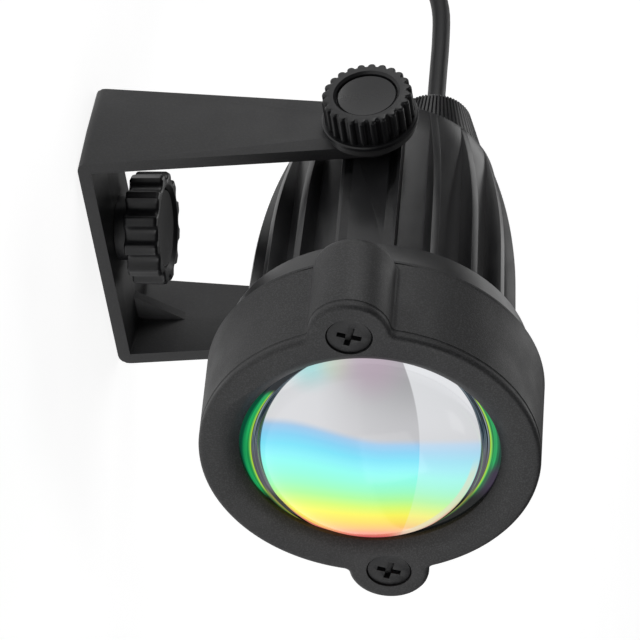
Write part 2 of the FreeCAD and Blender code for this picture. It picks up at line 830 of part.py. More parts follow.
def build_light_source():
    """Dark light tube, heat spreader, and the LED on its board."""
    outer = cavity_radius - s.loose_gap
    keep(ring("light_tube", rectangle(
        outer - s.light_tube_wall, outer, led_face - s.light_tube_length, led_face,
    ), head_placement), "light_tube")
    plate = cylinder("plate_disc", outer, s.led_plate_thickness, (zero, led_face, zero), Y)
    ways = []
    for name, side in (("way_low", -s.led_lead_offset), ("way_high", s.led_lead_offset)):
        ways.append(cylinder(name, s.led_lead_hole_radius, s.led_plate_thickness + s.overrun * 2,
                             (side, led_face - s.overrun, zero), Y))
    for name, side in (("tap_low", -s.board_screw_offset), ("tap_high", s.board_screw_offset)):
        ways.append(cylinder(name, s.board_screw_radius + s.fit_gap,
                             s.led_plate_thickness + s.overrun * 2,
                             (zero, led_face - s.overrun, side), Y))
    spreader = cut("heat_spreader", plate, fused("plate_drills", *ways))
    spreader.Placement = head_placement()
    keep(spreader, "heat_spreader")
    disc = cylinder("board_disc", s.led_board_radius, s.board_thickness, (zero, board_face, zero), Y)
    board_ways = []
    for name, across, up, radius in (
        ("pad_low", -s.led_lead_offset, zero, s.led_lead_hole_radius),
        ("pad_high", s.led_lead_offset, zero, s.led_lead_hole_radius),
        ("notch_low", zero, -s.board_screw_offset, s.board_screw_radius + s.hole_gap),
        ("notch_high", zero, s.board_screw_offset, s.board_screw_radius + s.hole_gap),
    ):
        board_ways.append(cylinder(name, radius, s.board_thickness + s.overrun * 2,
                                   (across, board_face - s.overrun, up), Y))
    board = cut("led_board", disc, fused("board_drills", *board_ways))
    board.Placement = head_placement()
    keep(board, "led_board")
    wide = s.led_base_width
    base = block("led_base", wide, s.led_base_height, wide,
                 (-wide / 2, board_face - s.led_base_height, -wide / 2))
    ball = doc.addObject("Part::Sphere", "led_ball")
    bind(ball, Radius=s.led_dome_radius)
    dome_seat = board_face - s.led_base_height
    ball.setExpression("Placement.Base.y", dome_seat.text)
    behind = block("led_ball_back", wide, wide, wide, (-wide / 2, dome_seat, -wide / 2))
    emitter = fused("led_emitter", base, cut("led_dome", ball, behind))
    emitter.Placement = head_placement()
    keep(emitter, "led_emitter")
    screws = []
    for name, side in (("board_screw_low", -s.board_screw_offset),
                       ("board_screw_high", s.board_screw_offset)):
        head = cylinder(name + "_head", s.board_screw_head_radius, s.board_screw_head_height,
                        (zero, board_face - s.board_screw_head_height, side), Y)
        shank = cylinder(name + "_shank", s.board_screw_radius, s.board_screw_length,
                         (zero, board_face - s.board_screw_head_height / 2, side), Y)
        screws.append(fused(name, head, shank))
    pair = group("board_screws", *screws)
    pair.Placement = head_placement()
    keep(pair, "board_screws")


def build_driver():
    """Driver board on its ledge, its two tall parts, and the leads on both sides."""
    outer = plate_bay_radius - s.loose_gap
    front = s.driver_board_reach - s.board_thickness
    keep(ring("driver_board", rectangle(zero, outer, front, s.driver_board_reach),
              head_placement), "driver_board")
    back = s.driver_board_reach
    for label, radius, tall, across, up in (
        ("driver_inductor", s.inductor_radius, s.inductor_height, -s.inductor_offset, zero),
        ("driver_capacitor", s.capacitor_radius, s.capacitor_height, zero, -s.capacitor_offset),
    ):
        part = group(label, cylinder(label + "_can", radius, tall, (across, back, up), Y))
        part.Placement = head_placement()
        keep(part, label)
    front_leads = []
    for name, side in (("led_lead_low", -s.led_lead_offset), ("led_lead_high", s.led_lead_offset)):
        front_leads.append(cylinder(name, s.lead_radius, front - board_face, (side, board_face, zero), Y))
    leads = group("led_leads", *front_leads)
    leads.Placement = head_placement()
    keep(leads, "led_leads")
    tail_front = nut_back - s.cord_tail_length
    rear_leads = []
    for name, side in (("supply_low", -s.lead_spacing / 2), ("supply_high", s.lead_spacing / 2)):
        rear_leads.append(cylinder(name, s.lead_radius, tail_front - back,
                                   (side, back, s.gland_offset), Y))
    supply = group("supply_leads", *rear_leads)
    supply.Placement = head_placement()
    keep(supply, "supply_leads")


# Cable gland

def build_gland():
    """Knurled cone nut, the rubber seal it squeezes, and the cord's end inside them."""
    body = new_body("nut_blank")
    seal_front = s.rear_face_reach + s.spigot_length + s.loose_gap
    seal_back = nut_back - s.nut_end_wall
    hole = s.cord_radius + s.cord_hole_clearance
    thread = s.spigot_radius + s.fit_gap
    turned(body, "XY_Plane", (
        (thread, nut_front), (s.nut_front_radius, nut_front), (s.nut_rear_radius, nut_back),
        (hole, nut_back), (hole, seal_back), (s.nut_seal_bore, seal_back),
        (s.nut_seal_bore, seal_front), (thread, seal_front),
    ), "V_Axis")
    groove = doc.addObject("Part::Feature", "knurl_grooves")
    groove.Shape = knurl_grooves()
    nut = cut("knurled_nut", body, groove)
    nut.Placement = head_placement().multiply(Placement(Vector(0, 0, s.gland_offset.value), Rotation()))
    keep(nut, "gland_nut")
    keep(ring("gland_seal", rectangle(
        s.cord_radius + s.fit_gap, s.seal_radius, seal_front, seal_back,
    ), gland_placement), "gland_seal")
    tail = s.cord_tail_length
    keep(ring("cord_end", rectangle(zero, s.cord_radius, nut_back - tail, nut_back),
              gland_placement), "cord_end")


def gland_placement():
    return head_placement().multiply(Placement(Vector(0, 0, s.gland_offset.value), Rotation()))


def knurl_grooves():
    """Fine straight grooves down the nut's cone, each a three-sided sliver."""
    front, back = nut_front.value, nut_back.value
    wide, narrow = s.nut_front_radius.value, s.nut_rear_radius.value
    depth = s.knurl_depth.value
    over = s.fit_gap.value
    slope = (narrow - wide) / (back - front)
    grooves = []
    for index in range(KNURLS):
        turn = 2 * math.pi * index / KNURLS
        rims = []
        for y in (front - depth, back + depth):
            radius = wide + slope * (y - front)
            half = math.pi * radius / KNURLS * KNURL_GROOVE_SHARE
            corners = []
            for across, out in ((-half, over), (half, over), (0, -depth)):
                angle = turn + across / radius
                reach = radius + out
                corners.append(Vector(reach * math.sin(angle), y, reach * math.cos(angle)))
            rims.append(Part.makePolygon(corners + [corners[0]]))
        grooves.append(Part.makeLoft(rims, True, True))
    return Part.makeCompound(grooves)


# Tilt knobs

def build_tilt_knob(side, sign):
    """Toothed knob, its inset disc and its bolt, on one side of the bracket."""
    end = knob_face
    base = knob_base
    shoulder = base + s.knob_flange_thickness
    recess = end - s.knob_recess_depth
    hole = s.bolt_radius + s.fit_gap
    head_back = recess - s.bolt_head_depth
    body = new_body("knob_blank_" + side)
    turned(body, "XY_Plane", (
        (base, hole), (base, s.knob_flange_radius), (shoulder, s.knob_flange_radius),
        (shoulder, s.knob_root_radius), (end, s.knob_root_radius),
        (end, s.knob_recess_radius), (recess, s.knob_recess_radius), (recess, hole),
    ), "H_Axis")
    teeth = new_sketch(body, "YZ_Plane", "tooth_outline")
    circle(teeth, s.knob_tooth_radius, s.knob_root_radius)
    bind(teeth, **{"AttachmentOffset.Base.z": shoulder})
    tooth = body.newObject("PartDesign::Pad", "tooth")
    tooth.Profile = teeth
    bind(tooth, Length=end - shoulder)
    doc.recompute()
    fan = body.newObject("PartDesign::PolarPattern", "teeth")
    fan.Originals = [tooth]
    fan.Axis = (teeth, ["N_Axis"])
    fan.Angle = 360
    fan.Occurrences = KNOB_TEETH
    body.Tip = fan
    doc.recompute()
    disc = new_body("inset_blank_" + side)
    low = recess + s.face_gap
    high = low + s.inset_thickness
    turned(disc, "XY_Plane", (
        (low, zero), (low, s.knob_recess_radius - s.hole_gap),
        (high, s.knob_recess_radius - s.hole_gap), (high - s.inset_dish, zero),
    ), "H_Axis")
    bolt = new_body("bolt_blank_" + side)
    tip = pad_face + s.face_gap - s.insert_length
    turned(bolt, "XY_Plane", (
        (tip, zero), (tip, s.bolt_radius), (recess, s.bolt_radius), (recess, zero),
    ), "H_Axis")
    turn = Rotation() if sign > 0 else Rotation(Vector(0, 0, 1), 180)
    for blank, label in ((body, "tilt_knob_"), (disc, "knob_inset_"), (bolt, "tilt_bolt_")):
        blank.Placement = Placement(Vector(0, 0, s.pivot_height.value), turn)
        keep(blank, label + side)


def build_pivot_hardware():
    """Brass inserts in the pads, thin friction washers inside the arms, thick ones outside."""
    for label, inner, outer, low, high, place in (
        ("pivot_inserts", s.bolt_radius + s.fit_gap, s.insert_radius,
         pad_face - s.insert_length, pad_face, head_placement),
        ("friction_washers", pivot_hole_radius, s.friction_washer_radius,
         pad_face, pad_face + s.friction_washer_thickness, head_placement),
        ("knob_washers", pivot_hole_radius, s.knob_washer_radius,
         yoke_half_width, yoke_half_width + s.knob_washer_thickness, pivot_placement),
    ):
        body = new_body(label + "_one")
        turned(body, "XY_Plane", ((low, inner), (low, outer), (high, outer), (high, inner)), "H_Axis")
        pair = group(label, body, mirrored(label + "_two", body))
        pair.Placement = place()
        keep(pair, label)


# Bracket knob

def build_base_knob():
    """Lobed nut knob inside the U, with its inset disc and brass insert."""
    low = s.yoke_thickness + s.face_gap
    recess = s.base_knob_face - s.base_recess_depth
    bore = s.base_insert_radius + s.fit_gap
    top = low + s.base_insert_length
    body = new_body("base_blank")
    turned(body, "XZ_Plane", (
        (bore, low), (s.base_hub_radius, low), (s.base_hub_radius, s.base_knob_lift),
        (s.base_knob_radius, s.base_knob_lift), (s.base_knob_radius, s.base_knob_face),
        (s.base_recess_radius, s.base_knob_face), (s.base_recess_radius, recess),
        (zero, recess), (zero, top), (bore, top),
    ), "V_Axis")
    dents = new_sketch(body, "XY_Plane", "scallop_outline")
    circle(dents, s.base_scallop_radius, s.base_scallop_centre)
    dents.AttachmentOffset = Placement(Vector(0, 0, 0), Rotation(Z, s.base_scallop_angle.value))
    bind(dents, **{"AttachmentOffset.Base.z": s.base_knob_lift - s.overrun,
                   "AttachmentOffset.Rotation.Angle": s.base_scallop_angle})
    dent = body.newObject("PartDesign::Pocket", "scallop")
    dent.Profile = dents
    dent.Reversed = True
    bind(dent, Length=s.base_knob_face - s.base_knob_lift + s.overrun * 2)
    doc.recompute()
    fan = body.newObject("PartDesign::PolarPattern", "scallops")
    fan.Originals = [dent]
    fan.Axis = (dents, ["N_Axis"])
    fan.Angle = 360
    fan.Occurrences = BASE_LOBES
    body.Tip = fan
    doc.recompute()
    keep(body, "base_knob")
    disc = new_body("base_knob_inset")
    under = recess + s.face_gap
    over = under + s.inset_thickness
    turned(disc, "XZ_Plane", (
        (zero, under), (s.base_recess_radius - s.hole_gap, under),
        (s.base_recess_radius - s.hole_gap, over), (zero, over - s.inset_dish),
    ), "V_Axis")
    keep(disc, "base_knob_inset")
    brass = new_body("base_insert")
    turned(brass, "XZ_Plane", rectangle(
        s.base_thread_radius, s.base_insert_radius, low, top - s.face_gap,
    ), "V_Axis")
    keep(brass, "base_insert")


# Free cord, its coil and its plug
# Points and counts of the cord are chosen by hand, in millimetres, on the level of the plate's
# outer face.

CORD_LEVEL = 2.5
LAYERS = 4
LAYER_RISE = 4.6
TURN_PITCH = 4.6
COIL_CENTRE = Vector(-22.0, 143.6, 0)
COIL_OUTER = 26.6
TURNS_EACH_WAY = 2.0
REVERSING_TURN = 0.5
BIARC_TURN = 0.25
HEADING_STEP = 1e-4
EXIT_RUN = 13.0
LANDING_RUN = 11.0
ROUTE_AFTER_EXIT = (
    (0.0, 59.8, 66.1), (0.2, 73.0, 64.7), (0.6, 85.2, 59.6), (1.2, 94.2, 50.0),
    (1.9, 100.0, 38.2), (2.6, 106.4, 27.0), (3.5, 116.4, 19.3),
)
ARC_SHARE = 0.45  # of the shorter run beside each corner of the route
TAIL_SHARES = (0.0, 0.3, 0.7, 1.0)  # where the last stretch bends down to the plug
PLUG_RUN = 20.0
PLUG_BODY = (15.6, 24.0, 7.8)
PLUG_SHELL = (12.0, 12.5, 4.5)
SHELL_WALL = 0.4
PLUG_EDGE = 2.0
BOOT_LENGTH = 12.0
BOOT_RADII = (2.4, 3.2)
TIE_WIDTH = 4.0
TIE_THICKNESS = 0.4
TIE_GAP = 0.1


def cord_exit():
    """Where the cord leaves the gland nut, and which way."""
    place = gland_placement()
    start = place.multVec(Vector(0, nut_back.value, 0))
    return start, place.Rotation.multVec(Y)


def coil_point(turns):
    """Centre line of the coil after this many turns: in on the top layer, down half a turn
    where the spiral reverses, out on the next one, and so on down to the table."""
    leg = TURNS_EACH_WAY + REVERSING_TURN
    layer = min(int(turns / leg), LAYERS - 1)
    along = turns - layer * leg
    share = max(along - TURNS_EACH_WAY, 0) / REVERSING_TURN
    moved = TURN_PITCH * (min(along, TURNS_EACH_WAY) + REVERSING_TURN * share * (1 - share))
    inward = layer % 2 == 0
    inner = COIL_OUTER - TURN_PITCH * TURNS_EACH_WAY
    radius = COIL_OUTER - moved if inward else inner + moved
    drop = layer + share * share * (3 - 2 * share)
    level = CORD_LEVEL + LAYER_RISE * (LAYERS - 1 - drop)
    angle = 2 * math.pi * turns
    across = Vector(math.cos(angle), math.sin(angle), 0) * radius
    return COIL_CENTRE + across + Vector(0, 0, level)


def coil_heading(turns):
    return (coil_point(turns + HEADING_STEP) - coil_point(turns - HEADING_STEP)).normalize()


def bow_of(start, heading, end):
    """Middle of the arc that leaves start along heading and ends at end."""
    chord = end - start
    along = Vector(chord).normalize()
    side = heading - along * heading.dot(along)
    rise = chord.Length / 2 * math.tan(chord.getAngle(heading) / 2)
    return start + chord * 0.5 + side.normalize() * rise


def arc_from(start, heading, end):
    return Part.Arc(start, bow_of(start, heading, end), end).toShape()


def biarc(start, heading, end, landing):
    """Two arcs that join smoothly, from one point and heading to another."""
    chord = end - start
    both = chord.dot(heading + landing)
    apart = 2 * (1 - heading.dot(landing))
    reach = (math.sqrt(both * both + apart * chord.dot(chord)) - both) / apart
    joint = (start + end + (heading - landing) * reach) * 0.5
    middle = bow_of(end, landing * -1, joint)
    return [arc_from(start, heading, joint), Part.Arc(joint, middle, end).toShape()]


def swept_tube(edges, start, heading):
    """Round tube of the cord's size along joined edges."""
    wire = Part.Wire(Part.__sortEdges__(edges))
    section = Part.Wire(Part.makeCircle(s.cord_radius.value, start, heading))
    return wire, wire.makePipeShell([section], True, False)


def solid_of(shape):
    solid = shape if shape.ShapeType == "Solid" else Part.makeSolid(shape)
    if solid.Volume < 0:
        solid.reverse()
    return solid


def build_coil():
    """Put-away length, wound in layers, as one unbroken tube."""
    last = LAYERS * TURNS_EACH_WAY + (LAYERS - 1) * REVERSING_TURN
    quarters = [BIARC_TURN * i for i in range(int(round(last / BIARC_TURN)) + 1)]
    stub = s.cord_radius.value * 2
    start, heading = coil_point(zero.value), coil_heading(HEADING_STEP)
    heading.z = 0
    heading.normalize()
    edges = []
    here, way = start, heading
    for turns in quarters[1:]:
        there = coil_point(turns)
        landing = coil_heading(turns)
        edges += biarc(here, way, there, landing)
        here, way = there, landing
    before = start - heading * stub
    edges.insert(0, Part.LineSegment(before, start).toShape())
    after = here + way * stub
    edges.append(Part.LineSegment(here, after).toShape())
    wire, tube = swept_tube(edges, before, heading)
    coil = doc.addObject("Part::Feature", "cord_coil")
    coil.Shape = solid_of(tube)
    keep(coil, "cord_coil")
    print("coil: length %.1f mm, least gap to itself %.2f mm" % (wire.Length, least_gap(wire)))
    return before, heading, after, way


def least_gap(wire):
    """Least clear distance between stretches of the tube that aren't neighbours along it."""
    cord = s.cord_radius.value * 2
    points = wire.discretize(Distance=cord / 4)
    skip = int(cord * 6 / (cord / 4))
    least = float("inf")
    for i, point in enumerate(points):
        for other in points[i + skip:]:
            gap = point.distanceToPoint(other)
            if gap < least:
                least = gap
    return least - cord


def rounded_route(points):
    """Straight runs joined by tangent arcs, each as large as its two runs allow."""
    edges = []
    radii = []
    here = points[0]
    for before, corner, after in zip(points, points[1:], points[2:]):
        into, out = corner - before, after - corner
        turn = into.getAngle(out)
        shorter = min(into.Length, out.Length)
        setback = ARC_SHARE * shorter
        radii.append(setback / math.tan(turn / 2))
        into.normalize()
        out.normalize()
        start, end = corner - into * setback, corner + out * setback
        edges.append(Part.LineSegment(here, start).toShape())
        edges.append(arc_from(start, into, end))
        here = end
    edges.append(Part.LineSegment(here, points[-1]).toShape())
    return edges, radii


def build_cord_run(coil_start, landing):
    """Free stretch from the gland down to the coil."""
    start, way = cord_exit()
    points = [start, start + way * EXIT_RUN]
    points += [Vector(*p) for p in ROUTE_AFTER_EXIT]
    points += [coil_start - landing * LANDING_RUN, coil_start]
    edges, radii = rounded_route(points)
    wire, tube = swept_tube(edges, start, way)
    run = doc.addObject("Part::Feature", "cord_run")
    run.Shape = solid_of(tube)
    keep(run, "cord_run")
    expected = wire.Length * math.pi * s.cord_radius.value ** 2
    print("cord run: length %.1f mm, volume %.1f of %.1f mm3, radii %s" % (
        wire.Length, run.Shape.Volume, expected, " ".join("%.1f" % r for r in radii)))
    print("cord run points:", [tuple(round(c, 2) for c in p) for p in points])
    return wire.Length


def build_plug(start, way):
    """Last straight stretch, then strain relief, moulded body, metal shell and tongue."""
    level = PLUG_BODY[2] / 2
    flat = Vector(way.x, way.y, 0).normalize()
    points = [start + flat * PLUG_RUN * share for share in TAIL_SHARES]
    points[2].z = points[3].z = level
    edges, radii = rounded_route(points)
    wire, tube = swept_tube(edges, start, (points[1] - start).normalize())
    tail = doc.addObject("Part::Feature", "cord_tail")
    tail.Shape = solid_of(tube)
    keep(tail, "cord_tail")
    print("cord tail: length %.1f mm, radii %s" % (wire.Length, " ".join("%.1f" % r for r in radii)))
    print("cord tail points:", [tuple(round(c, 2) for c in p) for p in points])
    across = Z.cross(flat)
    frame = Placement(points[-1], Rotation(across, flat, Z, "XYZ"))
    boot = Part.makeCone(BOOT_RADII[0], BOOT_RADII[1], BOOT_LENGTH, Vector(0, 0, 0), Y)
    wide, long, high = PLUG_BODY
    body = Part.makeBox(wide, long, high, Vector(-wide / 2, BOOT_LENGTH, -high / 2))
    edges = [e for e in body.Edges if abs(e.tangentAt(e.FirstParameter).y) > NEARLY_ALONG]
    body = body.makeFillet(PLUG_EDGE, edges)
    shell_wide, shell_long, shell_high = PLUG_SHELL
    mouth = BOOT_LENGTH + long
    shell = Part.makeBox(shell_wide, shell_long, shell_high,
                         Vector(-shell_wide / 2, mouth, -shell_high / 2))
    inner = Part.makeBox(shell_wide - 2 * SHELL_WALL, shell_long + SHELL_WALL,
                         shell_high - 2 * SHELL_WALL,
                         Vector(-shell_wide / 2 + SHELL_WALL, mouth, -shell_high / 2 + SHELL_WALL))
    shell = shell.cut(inner)
    tongue = Part.makeBox(shell_wide - 4 * SHELL_WALL, shell_long - 2 * SHELL_WALL,
                          shell_high / 2 - 2 * SHELL_WALL,
                          Vector(-shell_wide / 2 + 2 * SHELL_WALL, mouth, SHELL_WALL / 4))
    for label, shape in (("plug_boot", boot), ("plug_body", body), ("plug_shell", shell),
                         ("plug_tongue", tongue)):
        piece = doc.addObject("Part::Feature", label)
        piece.Shape = shape
        piece.Placement = frame
        keep(piece, label)
    return wire.Length


def build_tie():
    """Strap round all the layers of the coil, on its far side."""
    inner = COIL_OUTER - TURN_PITCH * (TURNS_EACH_WAY + REVERSING_TURN / 4)
    cord = s.cord_radius.value
    near = COIL_CENTRE.y + inner - cord - TIE_GAP - TURN_PITCH / 4
    far = COIL_CENTRE.y + COIL_OUTER + cord + TIE_GAP
    low = CORD_LEVEL - cord - TIE_GAP
    high = CORD_LEVEL + LAYER_RISE * (LAYERS - 1) + cord + TIE_GAP
    side = COIL_CENTRE.x - TIE_WIDTH / 2
    hole = Part.makeBox(TIE_WIDTH, far - near, high - low, Vector(side, near, low))
    skin = TIE_THICKNESS
    strap = Part.makeBox(TIE_WIDTH, far - near + 2 * skin, high - low + 2 * skin,
                         Vector(side, near - skin, low - skin))
    tie = doc.addObject("Part::Feature", "coil_tie")
    tie.Shape = strap.cut(hole)
    keep(tie, "coil_tie")


def build_cord():
    coil_start, into, coil_end, out = build_coil()
    run = build_cord_run(coil_start, into)
    tail = build_plug(coil_end, out)
    build_tie()
    return run, tail


def check_and_write():
    """Stops on any failed object, then writes one file per sub-part."""
    doc.recompute()
    for obj in doc.Objects:
        states = obj.State
        if "Invalid" in states or "Error" in states:
            raise RuntimeError(f"{obj.Name} did not compute: {states}")
    os.makedirs("parts", exist_ok=True)
    for obj in NODES:
        shape = obj.Shape
        if shape.isNull() or not shape.isValid():
            raise RuntimeError(f"{obj.Label} has no valid shape")
        if any(solid.Volume <= 0 for solid in shape.Solids) or not shape.Solids:
            raise RuntimeError(f"{obj.Label} has no solid")
        shape.exportStep(os.path.join("parts", obj.Label + ".step"))
        box = shape.BoundBox
        print("%-18s solids %2d volume %9.1f  x %.1f..%.1f y %.1f..%.1f z %.1f..%.1f" % (
            obj.Label, len(shape.Solids), shape.Volume,
            box.XMin, box.XMax, box.YMin, box.YMax, box.ZMin, box.ZMax))


def main():
    build_yoke()
    build_bezel()
    build_ring_screws()
    build_housing()
    build_optics()
    build_light_source()
    build_driver()
    build_gland()
    build_tilt_knob("left", -1)
    build_tilt_knob("right", 1)
    build_pivot_hardware()
    build_base_knob()
    build_cord()
    check_and_write()


main()
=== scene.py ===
"""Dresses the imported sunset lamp: finishes, modelled skins, cord, studio and camera."""

from __future__ import annotations

import logging
import math
from contextlib import contextmanager
from dataclasses import dataclass, field
from enum import Enum
from typing import Callable, Iterator, Sequence

import bpy
from mathutils import Matrix, Vector


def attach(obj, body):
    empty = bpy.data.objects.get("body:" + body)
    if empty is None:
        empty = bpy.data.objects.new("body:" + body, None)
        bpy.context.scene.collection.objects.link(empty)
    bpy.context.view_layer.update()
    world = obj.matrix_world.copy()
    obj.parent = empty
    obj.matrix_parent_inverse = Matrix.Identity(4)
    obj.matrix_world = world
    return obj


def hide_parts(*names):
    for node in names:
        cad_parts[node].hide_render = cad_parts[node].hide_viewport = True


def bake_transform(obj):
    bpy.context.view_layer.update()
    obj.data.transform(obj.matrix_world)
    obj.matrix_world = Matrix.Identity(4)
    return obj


Piece = bpy.types.Object
Socket = bpy.types.NodeSocket
Material = bpy.types.Material
Point = tuple[float, float]
Outline = Sequence[Point]
Stage = tuple[Outline, float]
Colour = tuple[float, float, float]

LOG = logging.getLogger("sunset_lamp")
MM = 0.001
NEAR = 0.01 * MM
DOUBLES = 1e-6

# Where the tilt axis stands, and how far the nose is up at rest
PIVOT_HEIGHT = 61.7 * MM
REST_TILT = math.radians(-4.0)
HEAD = Matrix.Translation((0, 0, PIVOT_HEIGHT)) @ Matrix.Rotation(REST_TILT, 4, "X")


class Pick(Enum):
    """What is selected in edit mode."""

    VERTICES = "VERT"
    EDGES = "EDGE"
    FACES = "FACE"


class Work(Enum):
    """What is done with boolean tools."""

    ADD = "UNION"
    CUT = "DIFFERENCE"


class Line(Enum):
    """How a curve goes through its points."""

    SMOOTH = "NURBS"
    STRAIGHT = "POLY"


class Side(Enum):
    """Which arm of the bracket a tilt knob is on."""

    LEFT = -1
    RIGHT = 1


# Hand tools

def deselect() -> None:
    """Leaves nothing selected, in object mode."""
    if bpy.context.object and bpy.context.object.mode != "OBJECT":
        bpy.ops.object.mode_set(mode="OBJECT")
    bpy.ops.object.select_all(action="DESELECT")


def take(piece: Piece) -> None:
    """Makes one piece the only selected and the active one.

    Args:
        piece: The piece to work on.
    """
    deselect()
    piece.select_set(True)
    bpy.context.view_layer.objects.active = piece


@contextmanager
def editing(piece: Piece, pick: Pick = Pick.VERTICES) -> Iterator[None]:
    """Edit mode on one piece, and object mode again afterwards.

    Args:
        piece: The piece.
        pick: What is selected in it.

    Yields:
        Nothing; the block runs in edit mode.
    """
    take(piece)
    bpy.ops.object.mode_set(mode="EDIT")
    bpy.ops.mesh.select_mode(type=pick.value)
    yield
    bpy.ops.object.mode_set(mode="OBJECT")


@contextmanager
def picked(piece: Piece, test: Callable[[Vector], bool],
           pick: Pick = Pick.VERTICES) -> Iterator[None]:
    """Edit mode with only that selected whose place passes a test.

    Args:
        piece: The piece.
        test: Takes the place of a vertex, of each end of an edge, or of a face's middle.
        pick: What is selected.

    Yields:
        Nothing; the block runs in edit mode.
    """
    with editing(piece, pick):
        bpy.ops.mesh.select_all(action="DESELECT")
    mesh = piece.data
    if pick is Pick.VERTICES:
        for vertex in mesh.vertices:
            vertex.select = test(vertex.co)
    elif pick is Pick.EDGES:
        for edge in mesh.edges:
            edge.select = all(test(mesh.vertices[end].co) for end in edge.vertices)
    else:
        for face in mesh.polygons:
            face.select = test(face.center)
    bpy.ops.object.mode_set(mode="EDIT")
    yield
    bpy.ops.object.mode_set(mode="OBJECT")


def pull(along: float) -> None:
    """Extrudes what is selected along the Y axis."""
    bpy.ops.mesh.extrude_region_move(TRANSFORM_OT_translate={"value": (0, along, 0)})


def settle(piece: Piece, place: Matrix = Matrix.Identity(4)) -> Piece:
    """Puts a piece's place into its mesh, so that its object sits at the origin.

    Args:
        piece: The piece.
        place: Where the piece goes from its own frame.

    Returns:
        The same piece.
    """
    piece.data.transform(place @ piece.matrix_world)
    piece.matrix_world = Matrix.Identity(4)
    return piece


def newest(name: str) -> Piece:
    """Names the primitive just added and settles it.

    Args:
        name: Its name.

    Returns:
        The piece.
    """
    piece = bpy.context.object
    piece.name = name
    bpy.context.view_layer.update()
    return settle(piece)


def recalculate(piece: Piece) -> None:
    """Merges doubles and turns all faces outwards.

    Args:
        piece: The piece.
    """
    with editing(piece):
        bpy.ops.mesh.select_all(action="SELECT")
        bpy.ops.mesh.remove_doubles(threshold=DOUBLES)
        bpy.ops.mesh.normals_make_consistent(inside=False)


def turned(name: str, outline: Outline, steps: int = 96) -> Piece:
    """Turns an outline about the Y axis by extruding a circle, and caps both ends.

    Args:
        name: The piece's name.
        outline: Radius and place along Y of each corner, none on the axis.
        steps: Sides of the circle.

    Returns:
        The piece, about the Y axis.
    """
    deselect()
    first, start = radius, reach = outline[0]
    bpy.ops.mesh.primitive_circle_add(vertices=steps, radius=radius, location=(0, reach, 0),
                                      rotation=(math.pi / 2, 0, 0))
    piece = newest(name)
    with editing(piece):
        bpy.ops.mesh.select_all(action="SELECT")
        for wide, along in outline[1:]:
            pull(along - reach)
            share = wide / radius
            bpy.ops.transform.resize(value=(share, 1, share), center_override=(0, along, 0))
            radius, reach = wide, along
        bpy.ops.mesh.edge_face_add()
    with picked(piece, lambda p: abs(p.y - start) < NEAR
                and abs(math.hypot(p.x, p.z) - first) < NEAR):
        bpy.ops.mesh.edge_face_add()
    recalculate(piece)
    return piece


def drawn(name: str, stages: Sequence[Stage]) -> Piece:
    """Draws a closed outline out along the Y axis, reshaped at each stage, and caps both ends.

    Args:
        name: The piece's name.
        stages: Outlines across X and Z, all with as many points, and their reaches.

    Returns:
        The piece, along the Y axis.
    """
    deselect()
    before, start = stages[0]
    bpy.ops.mesh.primitive_circle_add(vertices=len(before), radius=MM, fill_type="NGON")
    piece = newest(name)
    for vertex, (x, z) in zip(piece.data.vertices, before):
        vertex.co = (x, start, z)
    for outline, reach in stages[1:]:
        with editing(piece):
            pull(MM)
        pairs = list(zip(before, outline))
        for vertex in piece.data.vertices:
            if vertex.select:
                here = vertex.co.xz
                x, z = min(pairs, key=lambda pair: math.dist(pair[0], here))[1]
                vertex.co = (x, reach, z)
        before = outline
    recalculate(piece)
    return piece


def spokes(count: int, radius: Callable[[float], float], start: float = 0.0) -> list[Point]:
    """A closed outline of so many points, given by its radius at each angle from a start."""
    angles = [start + 2 * math.pi * index / count for index in range(count)]
    return [(radius(angle) * math.cos(angle), radius(angle) * math.sin(angle)) for angle in angles]


def rod(name: str, radius: float, start: Sequence[float], end: Sequence[float],
        sides: int = 48) -> Piece:
    """A round rod from one point to another.

    Args:
        name: The piece's name.
        radius: Its radius.
        start: One end.
        end: The other.
        sides: Sides of the circle.

    Returns:
        The rod, its place in its mesh.
    """
    deselect()
    start, end = Vector(start), Vector(end)
    way = end - start
    bpy.ops.mesh.primitive_cylinder_add(
        vertices=sides, radius=radius, depth=way.length, location=(start + end) / 2,
        rotation=way.to_track_quat("Z", "Y").to_euler())
    return newest(name)


def box(name: str, low: Sequence[float], high: Sequence[float]) -> Piece:
    """A block between two corners.

    Args:
        name: The piece's name.
        low: Its lowest corner.
        high: Its highest corner.

    Returns:
        The block.
    """
    deselect()
    low, high = Vector(low), Vector(high)
    bpy.ops.mesh.primitive_cube_add(size=1, location=(low + high) / 2, scale=high - low)
    return newest(name)


def combine(piece: Piece, work: Work, *tools: Piece) -> Piece:
    """Adds or cuts tools with applied boolean modifiers, and removes the tools.

    Args:
        piece: What is worked on.
        work: Whether the tools are added or cut.
        tools: The tools.

    Returns:
        The worked piece.
    """
    for tool in tools:
        take(piece)
        modifier = piece.modifiers.new("combine", "BOOLEAN")
        modifier.operation = work.value
        modifier.solver = "EXACT"
        modifier.object = tool
        bpy.ops.object.modifier_apply(modifier=modifier.name)
        bpy.data.objects.remove(tool)
    return piece


def soften(piece: Piece, width: float, segments: int = 2, angle: float = 35.0) -> None:
    """Rounds every sharp edge with an applied bevel.

    Args:
        piece: The piece.
        width: Reach of the rounding.
        segments: Faces across it.
        angle: Edges sharper than this many degrees are rounded.
    """
    take(piece)
    modifier = piece.modifiers.new("soften", "BEVEL")
    modifier.width = width
    modifier.segments = segments
    modifier.limit_method = "ANGLE"
    modifier.angle_limit = math.radians(angle)
    modifier.use_clamp_overlap = True
    bpy.ops.object.modifier_apply(modifier=modifier.name)


